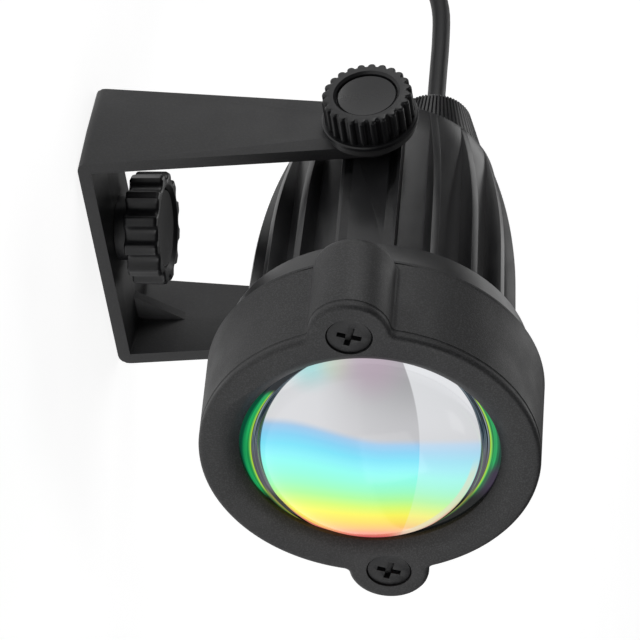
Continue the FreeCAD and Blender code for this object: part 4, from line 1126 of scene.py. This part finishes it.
@dataclass
class FrontRing:
    """Ring round the lens with two screw bosses, and its screws."""

    front: float = -67.5 * MM
    length: float = 22.2 * MM
    radius: float = 35.0 * MM
    wall: float = 2.2 * MM
    front_wall: float = 2.8 * MM
    face: float = 29.3 * MM
    opening: float = 26.8 * MM
    step: float = 1.8 * MM
    edge: float = 1.0 * MM
    front_land: float = 1.6 * MM
    run_out: float = 1.4
    boss_offset: float = 34.5 * MM
    boss_radius: float = 8.4 * MM
    boss_setback: float = 1.2 * MM
    boss_round: float = 2.4 * MM
    boss_fillet: float = 1.5 * MM
    boss_wall: float = 1.6 * MM
    boss_front: float = 5.5 * MM
    boss_points: int = 20
    fillet_points: int = 8
    ring_points: int = 36
    groove_start: float = 1.45 * MM
    groove_width: float = 0.9 * MM
    groove_depth: float = 0.16 * MM
    groove_steps: int = 6
    counterbore: float = 4.75 * MM
    counterbore_depth: float = 2.5 * MM
    screw_hole: float = 2.1 * MM
    head_radius: float = 4.45 * MM
    head_height: float = 2.3 * MM
    head_crown: float = 0.12 * MM
    head_edge: float = 0.18 * MM
    shank: float = 1.9 * MM
    shank_length: float = 16.0 * MM
    recess_length: float = 5.0 * MM
    recess_width: float = 1.25 * MM
    recess_depth: float = 1.5 * MM
    recess_turn: float = math.radians(20.0)

    def build(self) -> None:
        """Models the ring and both screws."""
        hand_over(self.ring(), BODY, "lamp_head", "bezel_ring", place=HEAD)
        screws = joined([self.screw(-1), self.screw(1)])
        hand_over(screws, SCREW, "lamp_head", "bezel_screws", place=HEAD)

    def outline(self, inset: float = 0.0, boss_inset: float = 0.0) -> list[Point]:
        """Round outline with a filleted boss on each side.

        Args:
            inset: How far the outline is drawn in.
            boss_inset: How far the bosses alone are drawn in as well.

        Returns:
            The outline's points, the same number whatever the insets.
        """
        ring, boss = self.radius - inset, self.boss_radius - inset - boss_inset
        fillet = self.boss_fillet + inset
        out, near, far = self.boss_offset, ring + fillet, boss + fillet
        x = (near * near - far * far + out * out) / (2 * out)
        z = math.sqrt(max(near * near - x * x, 0.0))
        at_ring, at_boss = math.atan2(z, x), math.atan2(z, x - out)
        quarter = []
        for middle, radius, start, end, count, last in (
            ((out, 0.0), boss, 0.0, at_boss, self.boss_points, 0),
            ((x, z), fillet, at_boss + math.pi, at_ring + math.pi, self.fillet_points, 0),
            ((0.0, 0.0), ring, at_ring, math.pi / 2, self.ring_points, 1),
        ):
            for index in range(count + last):
                angle = start + (end - start) * index / count
                quarter.append((middle[0] + radius * math.cos(angle),
                                middle[1] + radius * math.sin(angle)))
        half = quarter + [(-x, z) for x, z in reversed(quarter[:-1])]
        return half + [(x, -z) for x, z in reversed(half[1:-1])]

    def stages(self) -> list[Stage]:
        """Outlines from the rounded front edge over the groove to the bosses' domed ends.

        Returns:
            Each stage's outline and reach.
        """
        back = self.front + self.length
        stages = [(self.outline(self.front_land), self.front)]
        for index in range(5):
            turn = math.pi / 8 * index
            stages.append((self.outline(self.edge * (1 - math.sin(turn))),
                           self.front + self.edge * (1 - math.cos(turn))))
        groove = self.front + self.groove_start
        stages.append((self.outline(), groove))
        for index in range(1, self.groove_steps):
            turn = math.pi * index / self.groove_steps
            stages.append((self.outline(self.groove_depth * math.sin(turn)),
                           groove + self.groove_width * (1 - math.cos(turn)) / 2))
        stages.append((self.outline(), groove + self.groove_width))
        boss_end = back - self.boss_setback
        for index in range(7):
            turn = math.pi / 12 * index
            stages.append((self.outline(0.0, self.boss_round * (1 - math.cos(turn))),
                           boss_end - self.boss_round * (1 - math.sin(turn))))
        flush = self.boss_radius + self.boss_offset - self.radius - self.groove_depth / 4
        lip = self.edge / 3
        stages.append((self.outline(0.0, flush), boss_end + lip))
        stages.append((self.outline(0.0, flush), back - lip))
        stages.append((self.outline(lip, flush - lip), back))
        return stages

    def ring(self) -> Piece:
        """The ring: drawn along its filleted outline, then bored and drilled.

        Returns:
            The ring in the head's frame.
        """
        ring = drawn("front_ring", self.stages())
        over, beyond = self.front - self.length, self.front + 2 * self.length
        seat, inside = self.front + self.step, self.front + self.front_wall
        inner, lip = self.radius - self.wall, self.edge / 3
        foot = Vector((self.opening + lip, seat - lip))
        mouth = foot + (Vector((self.face, self.front)) - foot) * self.run_out
        cuts = [turned("bore", (
            (mouth.x, over), tuple(mouth), tuple(foot), (self.opening, seat),
            (self.opening, inside), (inner, inside), (inner, beyond)), steps=192)]
        for side in (-1, 1):
            x = side * self.boss_offset
            for name, radius, start, end in (
                ("hollow", self.boss_radius - self.boss_wall, self.front + self.boss_front, beyond),
                ("counterbore", self.counterbore, over, self.front + self.counterbore_depth),
                ("drill", self.screw_hole, over, self.front + self.length),
            ):
                cuts.append(rod(name, radius, (x, start, 0), (x, end, 0), sides=72))
        combine(ring, Work.CUT, *cuts)
        smooth(ring, angle=40.0)
        return ring

    def screw(self, side: int) -> Piece:
        """One cross-recessed screw.

        Args:
            side: -1 or 1.

        Returns:
            The screw in the head's frame.
        """
        seat = self.front + self.counterbore_depth
        top = seat - self.head_height
        piece = turned("ring_screws", (
            (self.head_radius / 2, top), (self.head_radius, top + self.head_crown),
            (self.head_radius, seat), (self.shank, seat), (self.shank, seat + self.shank_length)),
            steps=64)
        half, thin = self.recess_length / 2, self.recess_width / 2
        arms = []
        for turn in (0.0, math.pi / 2):
            arm = box("recess", (-half, top - self.recess_depth, -thin),
                      (half, top + self.recess_depth, thin))
            arm.data.transform(Matrix.Rotation(turn + self.recess_turn, 4, "Y"))
            arms.append(arm)
        combine(piece, Work.CUT, *arms)
        soften(piece, self.head_edge, angle=40.0)
        smooth(piece)
        return settle(piece, Matrix.Translation((side * self.boss_offset, 0, 0)))


@dataclass
class Housing:
    """Cast body: collar, core, fins, knob pads, lugs and the gland's spigot."""

    collar_front: float = -64.4 * MM
    collar: float = 32.4 * MM
    ring_back: float = -45.3 * MM
    collar_rear: float = 31.9 * MM
    collar_end: float = -37.9 * MM
    core_front: float = 24.5 * MM
    core_rear: float = 23.5 * MM
    shoulder: float = 6.0 * MM
    rim: float = 22.3 * MM
    rim_reach: float = 14.7 * MM
    rear_face: float = 19.5 * MM
    rear_reach: float = 17.0 * MM
    edge: float = 0.4 * MM
    fins: int = 18
    fin_front: float = 28.8 * MM
    fin_run_in: float = 1.7 * MM
    fin_shoulder: float = 28.0 * MM
    fin_shoulder_reach: float = -18.0 * MM
    fin_thickness: float = 1.7 * MM
    fin_edge: float = 0.45 * MM
    fin_steps: int = 18
    fin_sink: float = 0.1 * MM
    pad_face: float = 26.3 * MM
    pad_half: float = 6.2 * MM
    pad_rear: float = 7.0 * MM
    trim_rear: float = 20.0 * MM
    trim_out: float = 4.0 * MM
    lug_radius: float = 6.5 * MM
    lug_front: float = -61.0 * MM
    lug_rear: float = -47.0 * MM
    boss_offset: float = 34.5 * MM
    spigot: float = 6.2 * MM
    spigot_front: float = 13.0 * MM
    spigot_length: float = 6.5 * MM
    gland_rise: float = 8.4 * MM
    lens_seat: float = 30.7 * MM
    lens_seat_end: float = -61.0 * MM
    bore: float = 27.3 * MM
    bore_end: float = -55.0 * MM
    tube_mouth: float = 25.4 * MM
    tube_mouth_end: float = -50.5 * MM
    tube: float = 21.0 * MM
    tube_front: float = -41.5 * MM
    tube_end: float = 4.5 * MM
    cord_hole: float = 2.4 * MM
    insert_hole: float = 3.85 * MM
    hole_reach: float = 30.0 * MM

    def arc(self, start: Point, way: Point, end: Point, count: int) -> list[Point]:
        """Points of the arc that leaves start along way and reaches end.

        Args:
            start: Its first point, as radius and reach.
            way: Its direction there.
            end: Its last point.
            count: How many points follow the first.

        Returns:
            The points after the first.
        """
        first, chord = Vector(start), Vector(end) - Vector(start)
        heading = Vector(way).normalized()
        normal = Vector((-heading.y, heading.x))
        radius = chord.length_squared / (2 * chord.dot(normal))
        centre = first + normal * radius
        turn = math.copysign(2 * math.asin(min(1.0, chord.length / (2 * abs(radius)))), radius)
        points = []
        for index in range(1, count + 1):
            spoke = first - centre
            spoke.rotate(Matrix.Rotation(turn * index / count, 2))
            points.append(tuple(centre + spoke))
        return points

    def build(self) -> None:
        """Models the housing."""
        core = self.core()
        combine(core, Work.ADD, *self.additions())
        combine(core, Work.CUT, *self.cuts())
        soften(core, self.edge, segments=3, angle=30.0)
        smooth(core)
        piece = joined([core, self.all_fins()])
        piece.name = "housing_body"
        hand_over(piece, HOUSING, "lamp_head", "finned_housing", place=HEAD)

    def core(self) -> Piece:
        """Collar and tapering core as one turned piece.

        Returns:
            The core.
        """
        slope = (self.core_rear - self.core_front, self.shoulder - self.collar_end)
        bend = self.arc((self.core_rear, self.shoulder), slope, (self.rim, self.rim_reach), 5)
        return turned("housing", [
            (self.bore, self.collar_front), (self.collar, self.collar_front),
            (self.collar, self.ring_back), (self.collar_rear, self.collar_end),
            (self.core_front, self.collar_end), (self.core_rear, self.shoulder), *bend,
            (self.rear_face, self.rear_reach)], steps=160)

    def additions(self) -> list[Piece]:
        """Knob pads, screw lugs and the gland's spigot.

        Returns:
            The pieces to add.
        """
        pads = box("pads", (-self.pad_face, self.collar_end - MM, -self.pad_half),
                   (self.pad_face, self.pad_rear, self.pad_half))
        lugs = [rod("lug", self.lug_radius, (side * self.boss_offset, self.lug_front, 0),
                    (side * self.boss_offset, self.lug_rear, 0), sides=64) for side in (-1, 1)]
        spigot = rod("spigot", self.spigot, (0, self.spigot_front, self.gland_rise),
                     (0, self.rear_reach + self.spigot_length, self.gland_rise), sides=64)
        return [pads, *lugs, spigot]

    def cuts(self) -> list[Piece]:
        """The stepped bore, the cord's passage and the holes of the knob inserts.

        Returns:
            The pieces to cut.
        """
        bore = turned("front_bore", (
            (self.lens_seat, self.collar_front - MM), (self.lens_seat, self.lens_seat_end),
            (self.bore, self.lens_seat_end), (self.bore, self.bore_end),
            (self.tube_mouth, self.bore_end), (self.tube_mouth, self.tube_mouth_end),
            (self.tube, self.tube_front), (self.tube, self.tube_end)), steps=160)
        passage = rod("passage", self.cord_hole, (0, 0, self.gland_rise),
                      (0, self.hole_reach, self.gland_rise))
        inserts = rod("insert_holes", self.insert_hole, (-self.hole_reach, 0, 0),
                      (self.hole_reach, 0, 0))
        return [bore, passage, inserts]

    def all_fins(self) -> Piece:
        """The fins, trimmed flat over the pads.

        Returns:
            All the fins as one piece.
        """
        slope = (self.fin_shoulder - self.fin_front, self.fin_shoulder_reach - self.collar_end)
        bend = self.arc((self.fin_shoulder, self.fin_shoulder_reach), slope,
                        (self.rim, self.rim_reach), self.fin_steps)
        front, shoulder = self.fin_front, self.fin_shoulder_reach
        half, root = self.fin_thickness / 2, self.rim - self.fin_sink
        fin = box("fin", (root, self.collar_end - self.fin_run_in, -half),
                  (front, shoulder, half))
        with picked(fin, lambda p: p.x > root + MM and p.y > shoulder - MM):
            bpy.ops.transform.translate(value=(self.fin_shoulder - front, 0, 0))
        radius, reach = self.fin_shoulder, shoulder
        with picked(fin, lambda p: p.y > shoulder - NEAR, Pick.FACES):
            for wide, along in bend:
                pull(along - reach)
                share = (wide - root) / (radius - root)
                bpy.ops.transform.resize(value=(share, 1, 1), center_override=(root, along, 0))
                radius, reach = wide, along
        soften(fin, self.fin_edge, segments=3, angle=50.0)
        fins = fan(fin, self.fins, math.pi / self.fins)
        trims = []
        for side in (-1, 1):
            low, high = sorted((side * self.pad_face, side * (front + self.trim_out)))
            trims.append(box("trim", (low, self.collar_end, -self.pad_half),
                             (high, self.trim_rear, self.pad_half)))
        combine(fins, Work.CUT, *trims)
        smooth(fins)
        return fins


@dataclass
class Optics:
    """Domed lens with its sunset reflections painted on, its seal and the filter."""

    seat: float = -64.7 * MM
    dome: float = 13.1 * MM
    core: float = 23.3 * MM
    radius: float = 26.4 * MM
    dish: float = 0.5 * MM
    flange: float = 30.3 * MM
    flange_back: float = -62.7 * MM
    back: float = -61.3 * MM
    steps: int = 40

    def build(self) -> None:
        """Models the lens and dresses the rest."""
        lens = turned("front_lens", self.outline(), steps=192)
        smooth(lens, angle=40.0)
        hand_over(lens, SUNSET, "lamp_head", "front_lens", place=HEAD)
        dress(SEAL, "lens_gasket")
        dress(HOLDER, "filter_holder", "light_tube")
        dress(FILTER, "colour_filter")
        dress(SPRING, "filter_clip")

    def outline(self) -> list[Point]:
        """Half section of the lens from the dome's top over the flange to its back.

        Returns:
            Radius and reach of each point.
        """
        low = self.seat + self.dish
        dome = []
        for index in range(1, self.steps + 1):
            turn = math.pi / 2 * index / self.steps
            dome.append((self.core * math.sin(turn),
                         low - (self.dome + self.dish) * math.cos(turn)))
        dome.append((self.core + self.dish / 2, low + self.dish / 2))
        return dome + [(self.radius, self.seat), (self.flange, self.seat),
                       (self.flange, self.flange_back), (self.radius, self.flange_back),
                       (self.radius, self.back)]


@dataclass
class Inside:
    """Light source and driver behind the lens."""

    def build(self) -> None:
        """Dresses the pieces that the housing hides."""
        dress(ALLOY, "heat_spreader")
        dress(BOARD, "led_board")
        dress(RESIN, "led_emitter")
        dress(BOLT, "board_screws", "tilt_bolt_left", "tilt_bolt_right")
        dress(LAMINATE, "driver_board")
        dress(COMPONENT, "driver_inductor", "driver_capacitor")
        dress(LEAD, "led_leads", "supply_leads")
        dress(BRASS, "pivot_inserts", "base_insert")
        dress(JACKET, "cord_end")
        dress(SEAL, "gland_seal")


@dataclass
class Knob:
    """Moulded knob about the Y axis, with a recess in its face and a glossy inset in that."""

    face: float = 0.0
    root: float = 0.0
    top_round: float = 0.0
    recess: float = 0.0
    recess_depth: float = 0.0
    flare: float = 0.0
    inset: float = 0.0
    inset_edge: float = 0.0
    inset_gap: float = 0.1 * MM
    inset_thickness: float = 0.9 * MM
    inset_dish: float = 0.35 * MM
    dish_steps: int = 10

    def outline(self) -> list[Point]:
        """The drum's outline across the Y axis; each kind of knob has its own."""
        raise NotImplementedError

    def drawn_in(self, inset: float = 0.0) -> list[Point]:
        """The outline drawn in towards the axis."""
        scale = 1 - inset / self.root
        return [(x * scale, z * scale) for x, z in self.outline()]

    def top(self) -> list[Stage]:
        """Outlines and reaches of the rounding at the drum's face."""
        turns = [math.pi / 10 * index for index in range(6)]
        return [(self.drawn_in(self.top_round * (1 - math.cos(turn))),
                 self.face - self.top_round * (1 - math.sin(turn))) for turn in turns]

    def drum(self, stages: Sequence[Stage]) -> Piece:
        """The drum with its recess, whose mouth is flared.

        Args:
            stages: The drum's outlines and their reaches.

        Returns:
            The drum.
        """
        lip, wide = self.flare, self.recess
        tool = turned("recess", (
            (lip, self.face - self.recess_depth), (wide, self.face - self.recess_depth),
            (wide, self.face - lip), (wide + lip * 0.7, self.face - lip * 0.3),
            (wide + lip * 1.5, self.face + lip * 0.5), (wide + lip * 1.5, self.face + wide)))
        return combine(drawn("drum", stages), Work.CUT, tool)

    def disc(self, name: str) -> Piece:
        """The inset: a disc with a smooth shallow dish.

        Args:
            name: Its name.

        Returns:
            The disc.
        """
        radius, middle = self.inset, self.inset_edge
        low = self.face - self.recess_depth + self.inset_gap
        high = low + self.inset_thickness
        rings = [radius - middle - (radius - 2 * middle) * index / self.dish_steps
                 for index in range(self.dish_steps + 1)]
        dished = [(ring, high - self.inset_dish * (1 - (ring / radius) ** 2)) for ring in rings]
        disc = turned(name, [(middle, low), (radius, low), (radius, high - middle), *dished])
        smooth(disc, angle=40.0)
        return disc

    def whole(self, name: str, *pieces: Piece) -> Piece:
        """The knob's pieces joined.

        Args:
            name: The knob's name.
            pieces: Its drum and what carries it.

        Returns:
            The knob.
        """
        knob = joined(pieces)
        smooth(knob, angle=42.0)
        knob.name = name
        return knob


@dataclass
class TiltKnob(Knob):
    """Toothed knob and its glossy inset at one end of the tilt axis."""

    side: Side = Side.LEFT
    base: float = 31.5 * MM
    face: float = 39.0 * MM
    flange: float = 10.2 * MM
    flange_thickness: float = 1.2 * MM
    root: float = 8.7 * MM
    tooth: float = 0.8 * MM
    teeth: int = 24
    points: int = 12
    top_round: float = 0.7 * MM
    edge: float = 0.25 * MM
    recess: float = 6.5 * MM
    recess_depth: float = 1.7 * MM
    flare: float = 0.5 * MM
    inset: float = 6.3 * MM
    inset_edge: float = 0.25 * MM

    def build(self) -> None:
        """Models the knob and its inset."""
        word, way = self.side.name.lower(), self.side.value
        place = Matrix.Translation((0, 0, PIVOT_HEIGHT)) @ Matrix((
            (0, way, 0, 0), (1, 0, 0, 0), (0, 0, -way, 0), (0, 0, 0, 1)))
        body = word + "_tilt_knob"
        hand_over(self.knob("toothed_knob_" + word), KNOB, body, "tilt_knob_" + word, place=place)
        hand_over(self.disc("knob_disc_" + word), INSET, body, "knob_inset_" + word, place=place)

    def radius_at(self, angle: float) -> float:
        """Radius of the toothed outline at an angle.

        Args:
            angle: The angle, a tooth standing at zero.

        Returns:
            The radius.
        """
        share = (angle * self.teeth / (2 * math.pi) + 0.5) % 1.0 - 0.5
        turn = share * 2 * math.pi / self.teeth
        off = self.root * math.sin(turn)
        if abs(off) >= self.tooth:
            return self.root
        return self.root * math.cos(turn) + math.sqrt(self.tooth ** 2 - off ** 2)

    def outline(self) -> list[Point]:
        """The toothed outline."""
        count = self.teeth * self.points
        return spokes(count, self.radius_at, math.pi / count)

    def knob(self, name: str) -> Piece:
        """The knob: toothed drum with a rounded top, on a thin flange.

        Args:
            name: Its name.

        Returns:
            The knob.
        """
        edge, wide = self.edge, self.flange
        shoulder = self.base + self.flange_thickness
        drum = self.drum([(self.drawn_in(), shoulder - edge), *self.top()])
        flange = turned("flange", (
            (self.root, self.base), (wide - edge, self.base), (wide, self.base + edge),
            (wide, shoulder - edge), (wide - edge, shoulder), (self.root, shoulder)), steps=120)
        return self.whole(name, drum, flange)


@dataclass
class BaseKnob(Knob):
    """Lobed nut knob on the bracket's plate, with its glossy inset."""

    hub: float = 7.0 * MM
    hub_low: float = 3.2 * MM
    low: float = 6.3 * MM
    face: float = 13.7 * MM
    root: float = 12.2 * MM
    lobes: int = 12
    points: int = 20
    scallop: float = 2.2 * MM
    scallop_centre: float = 12.8 * MM
    scallop_angle: float = math.radians(25.0)
    blend: float = 0.7 * MM
    top_round: float = 0.8 * MM
    recess: float = 8.6 * MM
    recess_depth: float = 1.6 * MM
    flare: float = 0.8 * MM
    inset: float = 8.4 * MM
    inset_edge: float = 0.8 / 3 * MM

    def build(self) -> None:
        """Models the knob and its inset."""
        place = Matrix(((1, 0, 0, 0), (0, 0, -1, 0), (0, 1, 0, 0), (0, 0, 0, 1)))
        hand_over(self.knob("lobed_knob"), KNOB, "bracket_knob", "base_knob", place=place)
        hand_over(self.disc("lobed_knob_disc"), INSET, "bracket_knob", "base_knob_inset",
                  place=place)

    def radius_at(self, angle: float) -> float:
        """Radius of the lobed outline at an angle.

        Args:
            angle: The angle.

        Returns:
            The radius, its corners blended.
        """
        pitch = 2 * math.pi / self.lobes
        turn = (((angle + self.scallop_angle) / pitch + 0.5) % 1.0 - 0.5) * pitch
        off = self.scallop_centre * math.sin(turn)
        deep = max(self.scallop ** 2 - off ** 2, 0.0)
        dent = self.scallop_centre * math.cos(turn) - math.sqrt(deep)
        near = max(self.blend - abs(dent - self.root), 0.0) / self.blend
        return min(dent, self.root) - near * near * self.blend / 4

    def outline(self) -> list[Point]:
        """The lobed outline."""
        return spokes(self.lobes * self.points, self.radius_at)

    def knob(self, name: str) -> Piece:
        """The knob: lobed drum rounded at both ends, on a plain hub.

        Args:
            name: Its name.

        Returns:
            The knob.
        """
        turns = [math.pi / 10 * index for index in range(6)]
        foot = [(self.drawn_in(self.top_round * (1 - math.sin(turn))),
                 self.low + self.top_round * (1 - math.cos(turn))) for turn in turns]
        drum = self.drum([*foot, *self.top()])
        hub = turned("hub", ((self.hub, self.hub_low), (self.hub, self.low + self.top_round)),
                     steps=72)
        return self.whole(name, drum, hub)


@dataclass
class Knobs:
    """Two toothed tilt knobs, the lobed knob on the bracket's plate and the gland's nut."""

    def build(self) -> None:
        """Models the knobs and dresses the nut."""
        for side in Side:
            TiltKnob(side=side).build()
        BaseKnob().build()
        dress(KNOB, "gland_nut")


@dataclass
class PowerCord:
    """Free cord from the gland to the plug, its put-away length wound in a coil."""

    diameter: float = 4.0 * MM
    level: float = 2.5 * MM
    layers: int = 4
    rise: float = 4.6 * MM
    pitch: float = 4.6 * MM
    centre: Vector = field(default_factory=lambda: Vector((-22.0, 143.6, 0)) * MM)
    outer: float = 26.6 * MM
    turns_each_way: float = 2.0
    reversing: float = 0.5
    steps: int = 24
    length: float = 1.454
    route: tuple = (
        (0.0, 33.8, 67.76), (0.0, 46.77, 66.85), (0.0, 59.8, 66.1), (0.2, 73.0, 64.7),
        (0.6, 85.2, 59.6), (1.2, 94.2, 50.0), (1.9, 100.0, 38.2), (2.6, 106.4, 27.0),
        (3.5, 116.4, 19.3), (5.02, 128.61, 16.3), (4.71, 139.6, 16.3),
    )
    tail: tuple = ((-48.71, 139.6, 2.5), (-48.88, 133.6, 2.5), (-49.1, 125.61, 3.9),
                   (-49.26, 119.61, 3.9))
    still_from: tuple = (2.5, 106.0, 27.0)

    def coil_point(self, turns: float) -> Vector:
        """Centre line of the coil after this many turns.

        Args:
            turns: Turns from where the cord lands on the coil.

        Returns:
            The point.
        """
        leg = self.turns_each_way + self.reversing
        layer = min(int(turns / leg), self.layers - 1)
        along = turns - layer * leg
        share = max(along - self.turns_each_way, 0) / self.reversing
        moved = self.pitch * (min(along, self.turns_each_way)
                              + self.reversing * share * (1 - share))
        inner = self.outer - self.pitch * self.turns_each_way
        radius = self.outer - moved if layer % 2 == 0 else inner + moved
        radius /= math.cos(math.pi / self.steps)
        drop = layer + share * share * (3 - 2 * share)
        angle = 2 * math.pi * turns
        height = self.level + self.rise * (self.layers - 1 - drop)
        return self.centre + Vector((math.cos(angle) * radius, math.sin(angle) * radius, height))

    def knots(self) -> list[Vector]:
        """Control points of the whole cord: route, coil and tail.

        Returns:
            The points in metres.
        """
        last = self.layers * self.turns_each_way + (self.layers - 1) * self.reversing
        count = round(last * self.steps)
        coil = [self.coil_point(last * index / count) for index in range(1, count)]
        route, tail = ([Vector(knot) * MM for knot in part] for part in (self.route, self.tail))
        return route + coil + tail

    def build(self) -> None:
        """Lays the cord and dresses its plug and tie."""
        path = self.walked()
        piece = self.tube(path)
        smooth(piece)
        piece.data.materials.append(JACKET.material())
        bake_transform(piece)
        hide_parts("cord_run", "cord_coil", "cord_tail")
        dress(PLUG, "plug_boot", "plug_body")
        dress(SHELL, "plug_shell")
        dress(TONGUE, "plug_tongue")
        dress(TIE, "coil_tie")
        LOG.info("cord: %d points", len(path))

    def curve(self, name: str, kind: Line, points: Sequence[Vector]) -> Piece:
        """A curve through points.

        Args:
            name: Its name.
            kind: How it goes through the points.
            points: The points.

        Returns:
            The curve's object.
        """
        line = bpy.data.curves.new(name, "CURVE")
        line.dimensions = "3D"
        spline = line.splines.new(kind.value)
        spline.points.add(len(points) - 1)
        for knot, point in zip(spline.points, points):
            knot.co = (*point, 1.0)
        holder = bpy.data.objects.new(name, line)
        bpy.context.scene.collection.objects.link(holder)
        return holder

    def walked(self) -> list[Vector]:
        """Points read from the smooth line through the knots.

        Returns:
            Closely spaced points on the line.
        """
        holder = self.curve("cord_line", Line.SMOOTH, self.knots())
        spline = holder.data.splines[0]
        spline.order_u = 3
        spline.use_endpoint_u = True
        spline.resolution_u = 5
        bpy.context.view_layer.update()
        mesh = bpy.data.meshes.new_from_object(holder)
        path = [vertex.co.copy() for vertex in mesh.vertices]
        bpy.data.objects.remove(holder)
        bpy.data.meshes.remove(mesh)
        return path

    def tube(self, path: Sequence[Vector]) -> Piece:
        """A round tube along the cord's line.

        Args:
            path: The points it follows.

        Returns:
            The tube as a mesh.
        """
        piece = self.curve("power_cord", Line.STRAIGHT, path)
        piece.data.bevel_depth = self.diameter / 2
        piece.data.bevel_resolution = 4
        piece.data.use_fill_caps = True
        take(piece)
        bpy.ops.object.convert(target="MESH")
        piece = bpy.context.object
        recalculate(piece)
        return piece


@dataclass(frozen=True)
class Panel:
    """A soft square light."""

    name: str
    place: Colour
    size: float
    power: float


@dataclass
class Studio:
    """Pale floor, soft lights and the camera."""

    camera_place: tuple = (-0.68187, -0.71193, 0.23146)
    right: tuple = (0.12505, 0.13500, 0.98292)
    up: tuple = (-0.70912, 0.70506, -0.00662)
    back: tuple = (-0.69391, -0.69618, 0.18390)
    focal: float = 263.14
    sensor: float = 36.0
    sight: float = 20.0
    floor_size: float = 8.0
    floor_tones: Point = (0.33, 0.35)
    floor_specks: float = 40.0
    floor_glow: float = 0.86
    surround: float = 0.09
    aim: tuple = (0, -0.02, PIVOT_HEIGHT)
    panels: tuple[Panel, ...] = (
        Panel("key", (-1.0, 0.75, 0.35), 0.9, 6.5),
        Panel("fill", (0.35, -1.2, 0.30), 0.9, 6.8),
        Panel("top", (0.1, -0.1, 1.4), 0.5, 1.5),
        Panel("rim", (0.35, 0.9, 0.75), 0.8, 2.8),
    )

    def build(self) -> None:
        """Sets up the studio."""
        self.camera()
        self.floor()
        self.world()
        for panel in self.panels:
            self.light(panel)

    def camera(self) -> None:
        """The camera at the photograph's viewing angle."""
        data = bpy.data.cameras.new("camera")
        data.lens = self.focal
        data.sensor_width = self.sensor
        data.clip_end = self.sight
        camera = bpy.data.objects.new("camera", data)
        rotation = Matrix((self.right, self.up, self.back)).transposed()
        camera.matrix_world = Matrix.Translation(self.camera_place) @ rotation.to_4x4()
        bpy.context.scene.collection.objects.link(camera)
        bpy.context.scene.camera = camera

    def floor(self) -> None:
        """A plain pale floor."""
        deselect()
        bpy.ops.mesh.primitive_plane_add(size=self.floor_size)
        floor = bpy.context.object
        floor.name = "floor"
        graph = Graph("pale floor")
        specks = graph.step(graph.noise(self.floor_specks, 2.0), 0.3, 0.7)
        low, high = self.floor_tones
        floor.data.materials.append(graph.done(
            Base_Color=graph.mix(specks, (low,) * 3, (high,) * 3), Roughness=0.9,
            Emission_Color=(1.0, 1.0, 1.0, 1.0), Emission_Strength=self.floor_glow))

    def world(self) -> None:
        """An even white surround, shown as it is lit."""
        world = bpy.data.worlds.new("surround")
        world.use_nodes = True
        surround = world.node_tree.nodes["Background"]
        surround.inputs["Color"].default_value = (1.0, 1.0, 1.0, 1.0)
        surround.inputs["Strength"].default_value = self.surround
        bpy.context.scene.world = world
        bpy.context.scene.view_settings.view_transform = "Standard"

    def light(self, panel: Panel) -> None:
        """One soft panel turned to the lamp.

        Args:
            panel: The panel.
        """
        data = bpy.data.lights.new(panel.name, "AREA")
        data.size = panel.size
        data.energy = panel.power
        light = bpy.data.objects.new(panel.name, data)
        way = Vector(self.aim) - Vector(panel.place)
        light.location = panel.place
        light.rotation_euler = way.to_track_quat("-Z", "Y").to_euler()
        bpy.context.scene.collection.objects.link(light)


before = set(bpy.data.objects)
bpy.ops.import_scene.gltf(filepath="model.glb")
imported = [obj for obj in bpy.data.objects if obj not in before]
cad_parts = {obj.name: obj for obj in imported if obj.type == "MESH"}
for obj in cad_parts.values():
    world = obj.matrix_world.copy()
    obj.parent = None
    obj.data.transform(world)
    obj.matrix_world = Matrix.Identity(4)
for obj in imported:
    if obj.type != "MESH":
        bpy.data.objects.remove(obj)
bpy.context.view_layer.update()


def main() -> None:
    """Builds the studio and every sub-assembly, the camera and the cord first."""
    logging.basicConfig(level=logging.INFO, format="%(name)s: %(message)s")
    deselect()
    for part in (Studio(), PowerCord(), Bracket(), FrontRing(), Housing(), Optics(), Inside(),
                 Knobs()):
        part.build()


if __name__ == "__main__":
    main()
